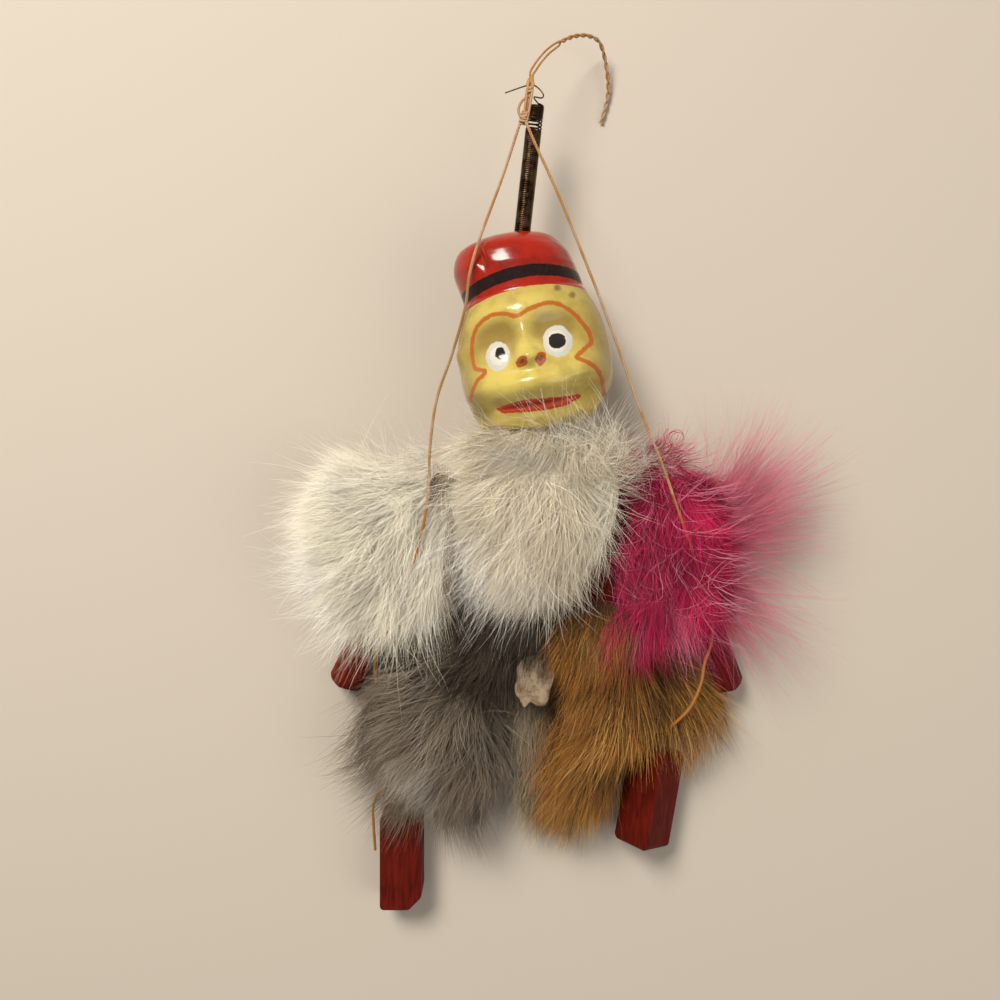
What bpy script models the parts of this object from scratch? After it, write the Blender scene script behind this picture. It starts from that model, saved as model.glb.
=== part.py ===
"""Celluloid monkey toy: a head of two moulded shells on a dowel, wooden body and limbs on wire staples, dyed
fur pads, and a coil spring with pull strings. It lies on its back, head towards +Y."""

import math

import bmesh
import bpy
import numpy as np
from mathutils import Matrix, Vector

# Driving dimensions, in millimetres and degrees. MM turns them into Blender's metres.
MM = 0.001
CLEARANCE = 0.3

# Wooden body block
BODY_WIDTH = 28.0
BODY_HIP_WIDTH = 23.0
BODY_TOP_Y = 16.5
BODY_BOTTOM_Y = -17.0
BODY_BACK_Z = 3.0
BODY_THICKNESS = 8.0
BODY_CORNER = 2.2
BODY_EDGE = 0.5
LIMB_Z = BODY_BACK_Z + BODY_THICKNESS / 2

# Wire staples that carry the limbs
STAPLE_WIRE = 0.8
STAPLE_HALF_GAP = 2.4
STAPLE_BEND = 0.9
STAPLE_DEPTH = 2.6
EYE_DIAMETER = 3.4
EYE_NECK = 2.2
EYE_SHOULDER = 5.5

# Arms: square bars that hang from the shoulder staples
ARM_BAR = 4.9
ARM_LENGTH = 41.5
ARM_END_Z = 3.9
SHOULDER_REACH = 5.0
WHITE_SHOULDER_Y = 11.8
WHITE_ARM_ANGLE = 26.0
WHITE_ARM_ROLL = 35.0
PINK_SHOULDER_Y = 12.8
PINK_ARM_ANGLE = 20.5
PINK_ARM_ROLL = 55.0

# Legs and feet
LEG_BAR = 4.6
HIP_REACH = 4.0
GREY_HIP_X = -9.0
GREY_LEG_LENGTH = 30.7
GREY_LEG_ANGLE = 34.9
TAN_HIP_X = 8.0
TAN_LEG_LENGTH = 18.7
TAN_LEG_ANGLE = 43.0
FOOT_WIDTH = 7.5
FOOT_THICKNESS = 7.0
FOOT_LENGTH = 17.5
FOOT_DROP = 2.2
FOOT_EDGE = 0.25
GREY_FOOT_ANGLE = 0.0
TAN_FOOT_ANGLE = -10.0
TAN_FOOT_ROLL = 45.0

# Head: two celluloid shells, with the hat moulded in
HEAD_CENTRE = (-2.6, 34.0, 12.9)
HEAD_ROLL = 10.0
FACE_YAW = -8.0
HEAD_WALL = 0.8
HEAD_DEPTH_SHARE = 0.93
HEAD_CHIN = -14.4
HEAD_SIDES = [
    (5.0, -14.2),
    (7.6, -13.4),
    (10.2, -11.4),
    (12.0, -8.8),
    (12.9, -6.2),
    (13.2, -3.5),
    (13.2, -0.8),
    (13.0, 1.8),
    (12.6, 4.2),
    (12.0, 6.3),
    (11.3, 8.0),
    (10.8, 9.2),
]
HAT_BASE = 9.6
HAT_SHOULDER = 14.4
HAT_TOP = 20.6
HAT_RADIUS = 10.4
HAT_LEAN = 0.9
NECK_OFFSET = (-1.3, -4.4)
SEAM_GAP = 0.3
FACE_STEPS = 26
BACK_STEPS = 12

# Neck dowel
DOWEL_DIAMETER = 5.0
DOWEL_FOOT = (-0.2, 9.5, LIMB_Z)

# Spring, its post and its hook
SPRING_DIAMETER = 3.1
SPRING_WIRE = 0.38
SPRING_PITCH = 0.82
SPRING_TURNS = 32
SPRING_POINTS = 8
SPRING_LEAN = 6.3
SPRING_SUNK = 3.0
CROWN_HOLE = (-4.4, 54.3, 12.9)
POST_DIAMETER = 1.6
POST_GRIP = 4.0
POST_REACH = 6.0

# Strings: diameters, and how many diameters apart a tube's points lie
STRING_DIAMETER = 0.55
TAIL_DIAMETER = 0.85
CORD_STEP = 2.8

# Fur pads
FUR_SEGMENTS = 28
FUR_RINGS = (0.4, 0.68, 0.88, 1.0)
FUR_START = 3.0
WHITE_FUR_REACH = (0.6, 0.66, 0.72, 0.75, 0.74, 0.7, 0.62)
PINK_FUR_REACH = (0.68, 0.74, 0.74, 0.72, 0.7, 0.66, 0.58)
GREY_FUR_REACH = (0.6, 0.66, 0.75, 0.82, 0.84, 0.86, 0.76)
TAN_FUR_REACH = (1.45, 1.48, 1.05, 0.7, 0.635, 0.65, 0.78, 0.88)
ARM_FUR_HEIGHT = 1.7 * BODY_THICKNESS
LEG_FUR_HEIGHT = 1.55 * BODY_THICKNESS
CHEST_HEIGHT = 8.1
BELLY_HEIGHT = 3.3
TUFT_LENGTH = 32.7
TUFT_WIDTH = 7.4
PELT_THICKNESS = BODY_BACK_Z - CLEARANCE

SMOOTH_ANGLE = math.radians(40)

# Routes of the wires and strings, chosen by hand, in millimetres, with the spring's end where they were drawn
ROUTES_SPRING_END = (-1.797, 77.886, 12.9)
WHITE_UPPER_ROUTE = [
    (-4.9, 73.6, 15.4),
    (-7.95, 63.58, 17.2),
    (-11.8, 51.89, 21.1),
    (-13.48, 46.08, 20.9),
    (-14.4, 40.57, 18.6),
    (-16.7, 33.35, 16.0),
    (-19.4, 25.78, 14.6),
    (-20.62, 17.15, 14.0),
    (-21.0, 8.6, 13.4),
]
PINK_UPPER_ROUTE = [
    (-4.0, 73.3, 15.9),
    (-2.6, 69.8, 16.0),
    (1.9, 60.1, 15.5),
    (7.5, 46.5, 14.8),
    (9.2, 42.2, 14.5),
    (12.1, 34.5, 14.2),
    (15.8, 24.1, 14.0),
    (19.7, 14.5, 14.0),
    (22.3, 7.0, 14.0),
]
WHITE_LOWER_ROUTE = [
    (-30.8, -19.9, 6.8),
    (-31.2, -24.0, 6.2),
    (-31.6, -29.0, 4.4),
    (-31.9, -35.0, 3.0),
    (-31.6, -40.0, 3.4),
    (-30.9, -43.4, 4.6),
    (-31.2, -47.0, 4.8),
    (-31.5, -51.0, 4.0),
    (-31.5, -56.2, 3.0),
]
PINK_LOWER_ROUTE = [
    (29.3, -17.2, 8.4),
    (27.4, -20.6, 9.2),
    (25.9, -25.0, 9.6),
    (24.9, -29.6, 9.6),
    (25.4, -33.6, 9.2),
    (26.4, -38.0, 8.0),
    (26.0, -43.0, 6.0),
    (24.75, -47.0, 5.0),
]
TAIL_ROUTE = [
    (-3.05, 80.75, 15.4),
    (-2.78, 82.35, 15.0),
    (-0.09, 86.6, 13.0),
    (4.01, 90.67, 9.6),
    (7.9, 92.43, 6.4),
    (10.33, 91.48, 3.8),
    (11.75, 85.2, 1.2),
    (10.48, 78.96, 0.6),
]
HOOK_ROUTE = [
    (-2.6, 78.05, 14.45),
    (-1.3, 77.9, 14.45),
    (-0.95, 78.5, 14.3),
    (-1.7, 79.7, 14.0),
    (-2.9, 80.45, 13.9),
    (-4.3, 80.15, 13.9),
    (-7.6, 79.0, 13.9),
]
KNOT_TOP = (-3.2, 80.1, 15.6)
KNOT_FOOT = (-4.4, 74.6, 15.6)
KNOT_RADIUS = 0.75


def clear_scene():
    for old in list(bpy.data.objects):
        bpy.data.objects.remove(old, do_unlink=True)


def material(name, colour, roughness, metallic=0.0):
    made = bpy.data.materials.new(name)
    made.use_nodes = True
    shader = made.node_tree.nodes["Principled BSDF"]
    shader.inputs["Base Color"].default_value = (*colour, 1.0)
    shader.inputs["Roughness"].default_value = roughness
    shader.inputs["Metallic"].default_value = metallic
    made.diffuse_color = (*colour, 1.0)
    return made


def add_object(name, mesh, origin, finish):
    """A scene object whose mesh was made in place, with its origin moved to a point in millimetres."""
    spot = Vector(origin) * MM
    mesh.transform(Matrix.Translation(-spot))
    mesh.shade_smooth()
    mesh.set_sharp_from_angle(angle=SMOOTH_ANGLE)
    made = bpy.data.objects.new(name, mesh)
    made.location = spot
    made.data.materials.append(finish)
    bpy.context.collection.objects.link(made)
    return made


def mesh_of(bm, name):
    """A mesh in metres from one drawn in millimetres, with its faces turned outwards."""
    bmesh.ops.recalc_face_normals(bm, faces=bm.faces)
    if bm.calc_volume(signed=True) < 0:
        bmesh.ops.reverse_faces(bm, faces=bm.faces)
    bm.transform(Matrix.Scale(MM, 4))
    mesh = bpy.data.meshes.new(name)
    bm.to_mesh(mesh)
    bm.free()
    return mesh


def loft(name, rings):
    """A closed mesh through rings of as many points each, in millimetres, with flat ends."""
    bm = bmesh.new()
    loops = [[bm.verts.new(point) for point in ring] for ring in rings]
    count = len(loops[0])
    for low, high in zip(loops, loops[1:]):
        for i in range(count):
            j = (i + 1) % count
            bm.faces.new((low[i], low[j], high[j], high[i]))
    bm.faces.new(loops[0][::-1])
    bm.faces.new(loops[-1])
    return mesh_of(bm, name)


def hide_cutter(cutter):
    cutter.hide_render = True
    cutter.display_type = "WIRE"


def cut(target, cutter):
    hide_cutter(cutter)
    boolean = target.modifiers.new(cutter.name, "BOOLEAN")
    boolean.operation = "DIFFERENCE"
    boolean.object = cutter


def bore(target, name, start, end, radius, sides=16):
    """Cuts a round hole from start to end, in millimetres."""
    a = Vector(start)
    b = Vector(end)
    bm = bmesh.new()
    bmesh.ops.create_cone(
        bm,
        cap_ends=True,
        segments=sides,
        radius1=radius,
        radius2=radius,
        depth=(b - a).length,
    )
    turn = (b - a).to_track_quat("Z", "Y").to_matrix().to_4x4()
    bm.transform(Matrix.Translation((a + b) / 2) @ turn)
    cutter = bpy.data.objects.new(name, mesh_of(bm, name))
    bpy.context.collection.objects.link(cutter)
    cut(target, cutter)


def smooth_route(points, step):
    """Evenly spaced points on a smooth curve through a route's points."""
    spots = [Vector(p) for p in points]
    spots = [2 * spots[0] - spots[1], *spots, 2 * spots[-1] - spots[-2]]
    fine = []
    for a, b, c, d in zip(spots, spots[1:], spots[2:], spots[3:]):
        for k in range(12):
            t = k / 12
            bend = (2 * a - 5 * b + 4 * c - d) * t**2 + (3 * b - a - 3 * c + d) * t**3
            fine.append(0.5 * (2 * b + (c - a) * t + bend))
    fine.append(spots[-2])
    line = np.array([tuple(p) for p in fine])
    along = np.concatenate([[0], np.cumsum(np.linalg.norm(np.diff(line, axis=0), axis=1))])
    count = max(3, round(along[-1] / step) + 1)
    at = np.linspace(0, along[-1], count)
    return np.stack([np.interp(at, along, line[:, k]) for k in range(3)], axis=1)


def tube(name, points, diameter, finish, resolution=2):
    """A wire or thread along points in millimetres."""
    curve = bpy.data.curves.new(name, "CURVE")
    curve.dimensions = "3D"
    curve.bevel_depth = diameter / 2 * MM
    curve.bevel_resolution = resolution
    curve.use_fill_caps = True
    spline = curve.splines.new("POLY")
    spline.points.add(len(points) - 1)
    for spot, point in zip(spline.points, points):
        spot.co = (*(Vector(point) * MM), 1.0)
    curve.materials.append(finish)
    made = bpy.data.objects.new(name, curve)
    bpy.context.collection.objects.link(made)
    return made


def direction(angle, pitch=0.0):
    """A limb's direction: angle degrees from -Y towards +X, pitched down towards the back."""
    a = math.radians(angle)
    p = math.radians(pitch)
    return Vector((math.sin(a) * math.cos(p), -math.cos(a) * math.cos(p), -math.sin(p)))


def across(way):
    """The two directions square to a limb: sideways and upwards."""
    side = way.cross(Vector((0, 0, 1))).normalized()
    return side, side.cross(way).normalized()


def section(centre, way, half, squareness, roll, count=16):
    """A ring of points round a limb: squareness 2 is a circle and 9 nearly a square."""
    side, up = across(way)
    turn = math.radians(roll)
    ring = []
    for k in range(count):
        t = 2 * math.pi * k / count
        reach = half / (abs(math.cos(t)) ** squareness + abs(math.sin(t)) ** squareness) ** (1 / squareness)
        ring.append(centre + reach * (math.cos(t + turn) * side + math.sin(t + turn) * up))
    return ring


def bar_rings(start, way, length, bar, roll, far_eye, swell=0.0):
    """Rings of a limb's wooden bar, from its eye to its far end, which is square or a second eye."""
    eye = EYE_DIAMETER / 2
    steps = [(-0.92 * eye, 0.45 * eye, 2), (-0.6 * eye, 0.85 * eye, 2), (0, eye, 2), (EYE_NECK, eye, 2)]
    steps.append((EYE_SHOULDER, bar / 2, 9))
    if far_eye:
        steps += [(length - s, h, n) for s, h, n in reversed(steps)]
    else:
        steps += [(length - 0.7, bar / 2, 9), (length, bar / 2 - 0.3, 7)]
    return [section(start + s * way, way, h + swell, n, roll) for s, h, n in steps]


def staple_route(eye, way, reach):
    """Points of a staple: out of the wood, through the limb's eye along Z, and back in."""
    out = Vector(way)
    up = Vector((0, 0, 1))
    root = Vector(eye) - (reach + STAPLE_DEPTH) * out
    bend = [(math.sin(t), 1 - math.cos(t)) for t in np.linspace(0, math.pi / 2, 4)]
    near = reach + STAPLE_DEPTH - STAPLE_BEND
    upper = [root + STAPLE_HALF_GAP * up]
    upper += [
        root + (near + STAPLE_BEND * x) * out + (STAPLE_HALF_GAP - STAPLE_BEND * y) * up for x, y in bend
    ]
    lower = [p - 2 * (p - Vector(eye)).dot(up) * up for p in reversed(upper)]
    return upper + lower


def add_staple(name, block, eye, way, reach, finish):
    """A staple, and its two holes in the block of wood that it is driven into."""
    tube(name, staple_route(eye, way, reach), STAPLE_WIRE, finish, resolution=1)
    for side, z in (("upper", STAPLE_HALF_GAP), ("lower", -STAPLE_HALF_GAP)):
        spot = Vector(eye) + Vector((0, 0, z))
        inner = spot - (reach + STAPLE_DEPTH + CLEARANCE) * Vector(way)
        outer = spot - (reach - 1.0) * Vector(way)
        bore(block, f"{name}_{side}_hole", inner, outer, STAPLE_WIRE / 2 + CLEARANCE, sides=10)


def add_limb(name, eye, way, length, bar, roll, far_eye, finish):
    made = add_object(name, loft(name, bar_rings(eye, way, length, bar, roll, far_eye)), eye, finish)
    eyes = [("near", eye)]
    if far_eye:
        eyes.append(("far", eye + length * way))
    for end, spot in eyes:
        height = Vector((0, 0, EYE_DIAMETER))
        bore(made, f"{name}_{end}_eye", spot - height, spot + height, STAPLE_WIRE / 2 + CLEARANCE, sides=12)
    return made


def pillow(name, spot, back_z, edge_z, front_z, origin, finish, fullness=2.6, back_fullness=6.0):
    """A closed pad. spot(share, turn) gives a place in plan, from the middle at share 0 to the edge at 1."""
    bm = bmesh.new()

    def height(share, top, power):
        return edge_z + (top - edge_z) * math.sqrt(max(0.0, 1 - share**power))

    def add(share, turn, top, power):
        x, y = spot(share, turn)
        return bm.verts.new((x, y, max(0.0, height(share, top, power))))

    turns = [2 * math.pi * k / FUR_SEGMENTS for k in range(FUR_SEGMENTS)]
    rim = [add(1.0, t, edge_z, 1) for t in turns]
    for top, power in ((front_z, fullness), (back_z, back_fullness)):
        outer = rim
        for share in reversed(FUR_RINGS[:-1]):
            inner = [add(share, t, top, power) for t in turns]
            for i in range(FUR_SEGMENTS):
                j = (i + 1) % FUR_SEGMENTS
                bm.faces.new((outer[i], outer[j], inner[j], inner[i]))
            outer = inner
        middle = add(0.0, 0.0, top, power)
        for i in range(FUR_SEGMENTS):
            bm.faces.new((outer[i], outer[(i + 1) % FUR_SEGMENTS], middle))
    return add_object(name, mesh_of(bm, name), origin, finish)


def rounded(value, power):
    return math.copysign(abs(value) ** power, value)


def fan(pivot, angle, before, beyond, reaches):
    """A plan like a fan, from so many degrees before a limb's angle to so many beyond it.
    reaches are its lengths across the spread, evenly spaced."""
    middle = angle + (beyond - before) / 2
    half = (before + beyond) / 2
    places = np.linspace(-1, 1, len(reaches))

    def spot(share, turn):
        swing = share * rounded(math.sin(turn), 0.8)
        far = float(np.interp(swing, places, reaches))
        rho = (FUR_START + far) / 2 + (far - FUR_START) / 2 * share * rounded(math.cos(turn), 0.7)
        phi = math.radians(middle + half * swing)
        return pivot[0] + rho * math.sin(phi), pivot[1] - rho * math.cos(phi)

    return spot


def oval(x, y, half_x, half_y, power=0.85):
    def spot(share, turn):
        return (
            x + half_x * share * rounded(math.cos(turn), power),
            y + half_y * share * rounded(math.sin(turn), power),
        )

    return spot


def tunnel(pad, name, eye, way, length, bar, roll, far_eye):
    """Cuts a limb's way through its fur pad, with clearance all round."""
    rings = bar_rings(eye, way, length, bar, roll, far_eye, swell=CLEARANCE)
    ends = [[p - 2.0 * way for p in rings[0]], *rings, [p + 2.0 * way for p in rings[-1]]]
    cutter = bpy.data.objects.new(name, loft(name, ends))
    bpy.context.collection.objects.link(cutter)
    cut(pad, cutter)


def smoothstep(t):
    t = min(1.0, max(0.0, t))
    return t * t * (3 - 2 * t)


def bump(distance, width):
    return math.exp(-((distance / width) ** 2))


def face_relief(x, b):
    """How far the face stands proud at x across and b up from the head's centre."""
    eye = math.hypot(abs(x) - 5.1, b)
    brow = 1.0 * bump(math.hypot(abs(x) - 5.1, b + 0.6) - 5.0, 1.2) * (1 if b > 0 else bump(b, 1.5))
    sockets = -1.5 * bump(eye, 3.8) + 1.2 * bump(eye, 2.4)
    nose = 1.5 * bump(x, 1.7) * bump(b + 1.6, 2.6)
    nostrils = -0.3 * bump(math.hypot(abs(x) - 1.3, b + 2.9), 0.7)
    muzzle = 2.5 * bump(math.hypot(x / 7.2, (b + 8.2) / 4.9), 1.0)
    curve = -9.2 + 0.012 * x * x
    mouth = -0.7 * bump(b - curve, 0.75) * (1 if abs(x) < 6.2 else bump(abs(x) - 6.2, 0.9))
    cheeks = 0.7 * bump(math.hypot(abs(x) - 9.4, b + 4.5), 3.4)
    return brow + sockets + nose + nostrils + muzzle + mouth + cheeks


def hat_relief(x, b):
    """The pressed-in crease on the hat's front, beside the crown."""
    return -0.7 * bump(math.hypot((x + 2.9) / 1.2, (b - 16.6) / 2.2), 1.0)


def head_profile():
    """Half widths and heights from the neck to the crown, measured from the head's centre."""
    neck = DOWEL_DIAMETER / 2 + 0.8
    crown = SPRING_DIAMETER / 2 + 0.55
    shape = [(neck, HEAD_CHIN + 0.5), *HEAD_SIDES]
    shape += [(HAT_RADIUS + 0.04 * k, HAT_BASE + (HAT_SHOULDER - HAT_BASE) * k / 4) for k in range(5)]
    for degrees in (18, 34, 48, 60, 70, 79):
        turn = math.radians(degrees)
        rise = (HAT_TOP - HAT_SHOULDER) * math.sin(turn) ** 0.9
        shape.append((HAT_RADIUS * math.cos(turn) ** 0.72, HAT_SHOULDER + rise))
    shape.append((crown, HAT_TOP))
    return shape


def head_relief(r, b, turn):
    """How far the moulding stands proud of the plain shape, which it does only in front."""
    front = math.cos(turn - math.radians(FACE_YAW))
    if front <= 0:
        return 0.0
    x = r * math.sin(turn - math.radians(FACE_YAW))
    proud = face_relief(x, b) if b < HAT_BASE - 1.0 else hat_relief(x, b)
    return proud * min(1.0, 2.2 * front) * min(1.0, max(0.0, (b - HEAD_CHIN - 0.8) / 2.0))


def head_place(r, b, turn, proud):
    """A point of the head in millimetres: half width r, height b, turn round from the front."""
    drop = smoothstep((-7.0 - b) / 7.0)
    high = smoothstep((b - HAT_BASE) / 6.0)
    crown = Vector(CROWN_HOLE) - Vector(HEAD_CENTRE)
    roll = math.radians(HEAD_ROLL)
    right = Vector((math.cos(roll), math.sin(roll), 0))
    up = Vector((-math.sin(roll), math.cos(roll), 0))
    reach = r + proud
    shift = (crown.dot(right) + HAT_LEAN) * max(0.0, 1 - (r - 2.1) / 7.0) - HAT_LEAN
    a = reach * math.sin(turn) + NECK_OFFSET[0] * drop + shift * high
    c = HEAD_DEPTH_SHARE * reach * math.cos(turn) + NECK_OFFSET[1] * drop
    return Vector(HEAD_CENTRE) + a * right + (b - 0.09 * a * high) * up + Vector((0, 0, c))


def inner_profile(shape):
    """The profile again, a wall's thickness further in."""
    line = np.array(shape)
    way = np.gradient(line, axis=0)
    way /= np.linalg.norm(way, axis=1)[:, None]
    inner = line - HEAD_WALL * np.stack([way[:, 1], -way[:, 0]], axis=1)
    inner[0] = (line[0][0], line[0][1] + HEAD_WALL)
    inner[-1] = (line[-1][0], line[-1][1] - HEAD_WALL)
    return [(float(r), float(b)) for r, b in inner]


def head_shell(name, first, last, steps, seam, finish):
    """Half of the head, from one seam to the other, as one wall with the neck and crown holes open."""
    outer = head_profile()
    inner = inner_profile(outer)
    bm = bmesh.new()
    skin = []
    lining = []
    for (r, b), (inner_r, inner_b) in zip(outer, inner):
        skin.append([])
        lining.append([])
        for i in range(steps + 1):
            turn = math.radians(first + (last - first) * i / steps)
            proud = head_relief(r, b, turn)
            shift = Vector((0, 0, seam if i in (0, steps) else 0.0))
            skin[-1].append(bm.verts.new(head_place(r, b, turn, proud) + shift))
            lining[-1].append(bm.verts.new(head_place(inner_r, inner_b, turn, proud) + shift))
    for rows in (skin, lining):
        for low, high in zip(rows, rows[1:]):
            for i in range(steps):
                bm.faces.new((low[i], low[i + 1], high[i + 1], high[i]))
    for i in range(steps):
        for k in (0, -1):
            bm.faces.new((skin[k][i], skin[k][i + 1], lining[k][i + 1], lining[k][i]))
    for k in range(len(outer) - 1):
        for i in (0, steps):
            bm.faces.new((skin[k][i], skin[k + 1][i], lining[k + 1][i], lining[k][i]))
    return add_object(name, mesh_of(bm, name), HEAD_CENTRE, finish)


def add_body(finish):
    """The block of wood that everything hangs on: an outline pulled up to its thickness, edges eased."""
    top = BODY_WIDTH / 2
    hip = BODY_HIP_WIDTH / 2
    corner = BODY_CORNER
    right = [
        (hip - corner, BODY_BOTTOM_Y),
        (hip, BODY_BOTTOM_Y + corner),
        (top, 2.0),
        (top, BODY_TOP_Y - corner),
        (top - corner, BODY_TOP_Y),
    ]
    outline = right + [(-x, y) for x, y in reversed(right)]
    bm = bmesh.new()
    verts = [bm.verts.new((x, y, BODY_BACK_Z)) for x, y in outline]
    face = bm.faces.new(verts)
    pulled = bmesh.ops.extrude_face_region(bm, geom=[face])["geom"]
    moved = [g for g in pulled if isinstance(g, bmesh.types.BMVert)]
    bmesh.ops.translate(bm, verts=moved, vec=(0, 0, BODY_THICKNESS))
    bmesh.ops.recalc_face_normals(bm, faces=bm.faces)
    bmesh.ops.bevel(
        bm,
        geom=list(bm.edges),
        offset=BODY_EDGE,
        segments=1,
        profile=0.5,
        affect="EDGES",
    )
    return add_object("body_block", mesh_of(bm, "body_block"), (0, 0, 0), finish)


def add_foot(name, eye, angle, roll, chamfers, finish):
    """A foot block. chamfers are its corner cuts: upper left, upper right, lower right and lower left."""
    way = direction(angle)
    side, up = across(way)
    side = -side
    half = FOOT_WIDTH / 2
    low = FOOT_DROP + FOOT_LENGTH
    a, b, c, d = chamfers
    outline = [
        (-half, FOOT_DROP + a),
        (-half + a, FOOT_DROP),
        (half - b, FOOT_DROP),
        (half, FOOT_DROP + b),
        (half, low - c),
        (half - c, low),
        (-half + d, low),
        (-half, low - d),
    ]
    turn = Matrix.Rotation(math.radians(roll), 3, way)
    bm = bmesh.new()
    levels = []
    for z in (-FOOT_THICKNESS / 2, FOOT_THICKNESS / 2):
        ring = [eye + s * way + turn @ (x * side + z * up) for x, s in outline]
        levels.append([bm.verts.new(p) for p in ring])
    bm.faces.new(levels[0][::-1])
    bm.faces.new(levels[1])
    for i in range(len(outline)):
        j = (i + 1) % len(outline)
        bm.faces.new((levels[0][i], levels[0][j], levels[1][j], levels[1][i]))
    bmesh.ops.recalc_face_normals(bm, faces=bm.faces)
    bmesh.ops.bevel(bm, geom=list(bm.edges), offset=FOOT_EDGE, segments=1, profile=0.5, affect="EDGES")
    return add_object(name, mesh_of(bm, name), eye, finish)


def add_fur_pad(name, eye, way, length, bar, roll, far_eye, angle, spread, reaches, height, finish):
    """A limb's fur, spread round it like a fan, with the limb's way through it."""
    plan = fan(eye, angle, *spread, [length * reach for reach in reaches])
    pad = pillow(f"{name}_fur", plan, -0.5, 0.38 * height, height, eye, finish)
    tunnel(pad, f"{name}_tunnel", eye, way, length, bar, roll, far_eye)


def add_arms(body, wood, wire, fur):
    for side, shoulder_y, angle, roll, spread, reaches in (
        ("white", WHITE_SHOULDER_Y, -WHITE_ARM_ANGLE, WHITE_ARM_ROLL, (76, 18), WHITE_FUR_REACH),
        ("pink", PINK_SHOULDER_Y, PINK_ARM_ANGLE, PINK_ARM_ROLL, (21, 66), PINK_FUR_REACH),
    ):
        sign = math.copysign(1, angle)
        eye = Vector((sign * (BODY_WIDTH / 2 + SHOULDER_REACH), shoulder_y, LIMB_Z))
        pitch = math.degrees(math.asin((LIMB_Z - ARM_END_Z) / ARM_LENGTH))
        way = direction(angle, pitch)
        limb = (eye, way, ARM_LENGTH, ARM_BAR, roll, False)
        add_staple(f"{side}_shoulder_staple", body, eye, (sign, 0, 0), SHOULDER_REACH, wire)
        add_limb(f"{side}_arm_bar", *limb, wood)
        add_fur_pad(f"{side}_arm", *limb, angle, spread, reaches, ARM_FUR_HEIGHT, fur[side])


def add_leg(side, hip, ankle, angle, foot_angle, foot_roll, chamfers, spread, reaches, body, wood, wire, fur):
    length = (ankle - hip).length
    way = (ankle - hip).normalized()
    limb = (hip, way, length, LEG_BAR, 0.0, True)
    add_staple(f"{side}_hip_staple", body, hip, (0, -1, 0), HIP_REACH, wire)
    add_limb(f"{side}_leg_bar", *limb, wood)
    foot = add_foot(f"{side}_foot", ankle, foot_angle, foot_roll, chamfers, wood)
    add_staple(f"{side}_ankle_staple", foot, ankle, -direction(foot_angle), FOOT_DROP, wire)
    add_fur_pad(f"{side}_leg", *limb, angle, spread, reaches, LEG_FUR_HEIGHT, fur[side])


def add_legs(body, wood, wire, fur):
    flat = FOOT_THICKNESS / 2
    turned = (FOOT_WIDTH + FOOT_THICKNESS) / 2 * math.sin(math.radians(TAN_FOOT_ROLL)) - 0.05
    for side, hip_x, length, angle, foot_z, foot, spread, reaches in (
        (
            "grey",
            GREY_HIP_X,
            GREY_LEG_LENGTH,
            -GREY_LEG_ANGLE,
            flat,
            (GREY_FOOT_ANGLE, 0.0, (1.0, 1.3, 2.3, 0.4)),
            (40, 36),
            GREY_FUR_REACH,
        ),
        (
            "tan",
            TAN_HIP_X,
            TAN_LEG_LENGTH,
            TAN_LEG_ANGLE,
            turned,
            (TAN_FOOT_ANGLE, TAN_FOOT_ROLL, (0.8, 0.8, 0.6, 0.6)),
            (55.0, 28.6),
            TAN_FUR_REACH,
        ),
    ):
        hip = Vector((hip_x, BODY_BOTTOM_Y - HIP_REACH, LIMB_Z))
        pitch = math.degrees(math.asin((LIMB_Z - foot_z) / length))
        ankle = hip + length * direction(angle, pitch)
        add_leg(side, hip, ankle, angle, *foot, spread, reaches, body, wood, wire, fur)


def add_body_fur(fur):
    """The pads on the body block: chest, belly, back, and the tuft that hangs between the legs."""
    front = BODY_BACK_Z + BODY_THICKNESS + CLEARANCE
    length = BODY_TOP_Y - BODY_BOTTOM_Y
    origin = (0, 0, 0)
    chest = oval(-0.06 * BODY_WIDTH, BODY_TOP_Y - 0.43 * length, 0.52 * BODY_WIDTH, 0.43 * length)
    belly = oval(-0.04 * BODY_WIDTH, BODY_BOTTOM_Y + 0.025 * length, 0.46 * BODY_HIP_WIDTH, 0.1 * length)
    back = oval(0.0, BODY_BOTTOM_Y + 0.496 * length, 0.535 * BODY_WIDTH, 0.484 * length)
    pillow("chest_fur", chest, front, front + 0.15 * CHEST_HEIGHT, front + CHEST_HEIGHT, origin, fur["white"])
    pillow("belly_fur", belly, front, front + 0.25 * BELLY_HEIGHT, front + BELLY_HEIGHT, origin, fur["grey"])
    pillow("back_pelt", back, -0.5, 0.52 * PELT_THICKNESS, PELT_THICKNESS, origin, fur["pelt"], 8.0, 8.0)
    tuft_y = BODY_BOTTOM_Y - CLEARANCE - TUFT_LENGTH / 2
    tuft = oval(-0.35 * TUFT_WIDTH, tuft_y, TUFT_WIDTH / 2, TUFT_LENGTH / 2)
    pillow("pale_tuft", tuft, -0.3, 0.54 * TUFT_WIDTH, 0.97 * TUFT_WIDTH, origin, fur["pale"], 2.6, 4.0)


def spring_way():
    lean = math.radians(SPRING_LEAN)
    return Vector((math.sin(lean), math.cos(lean), 0))


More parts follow.
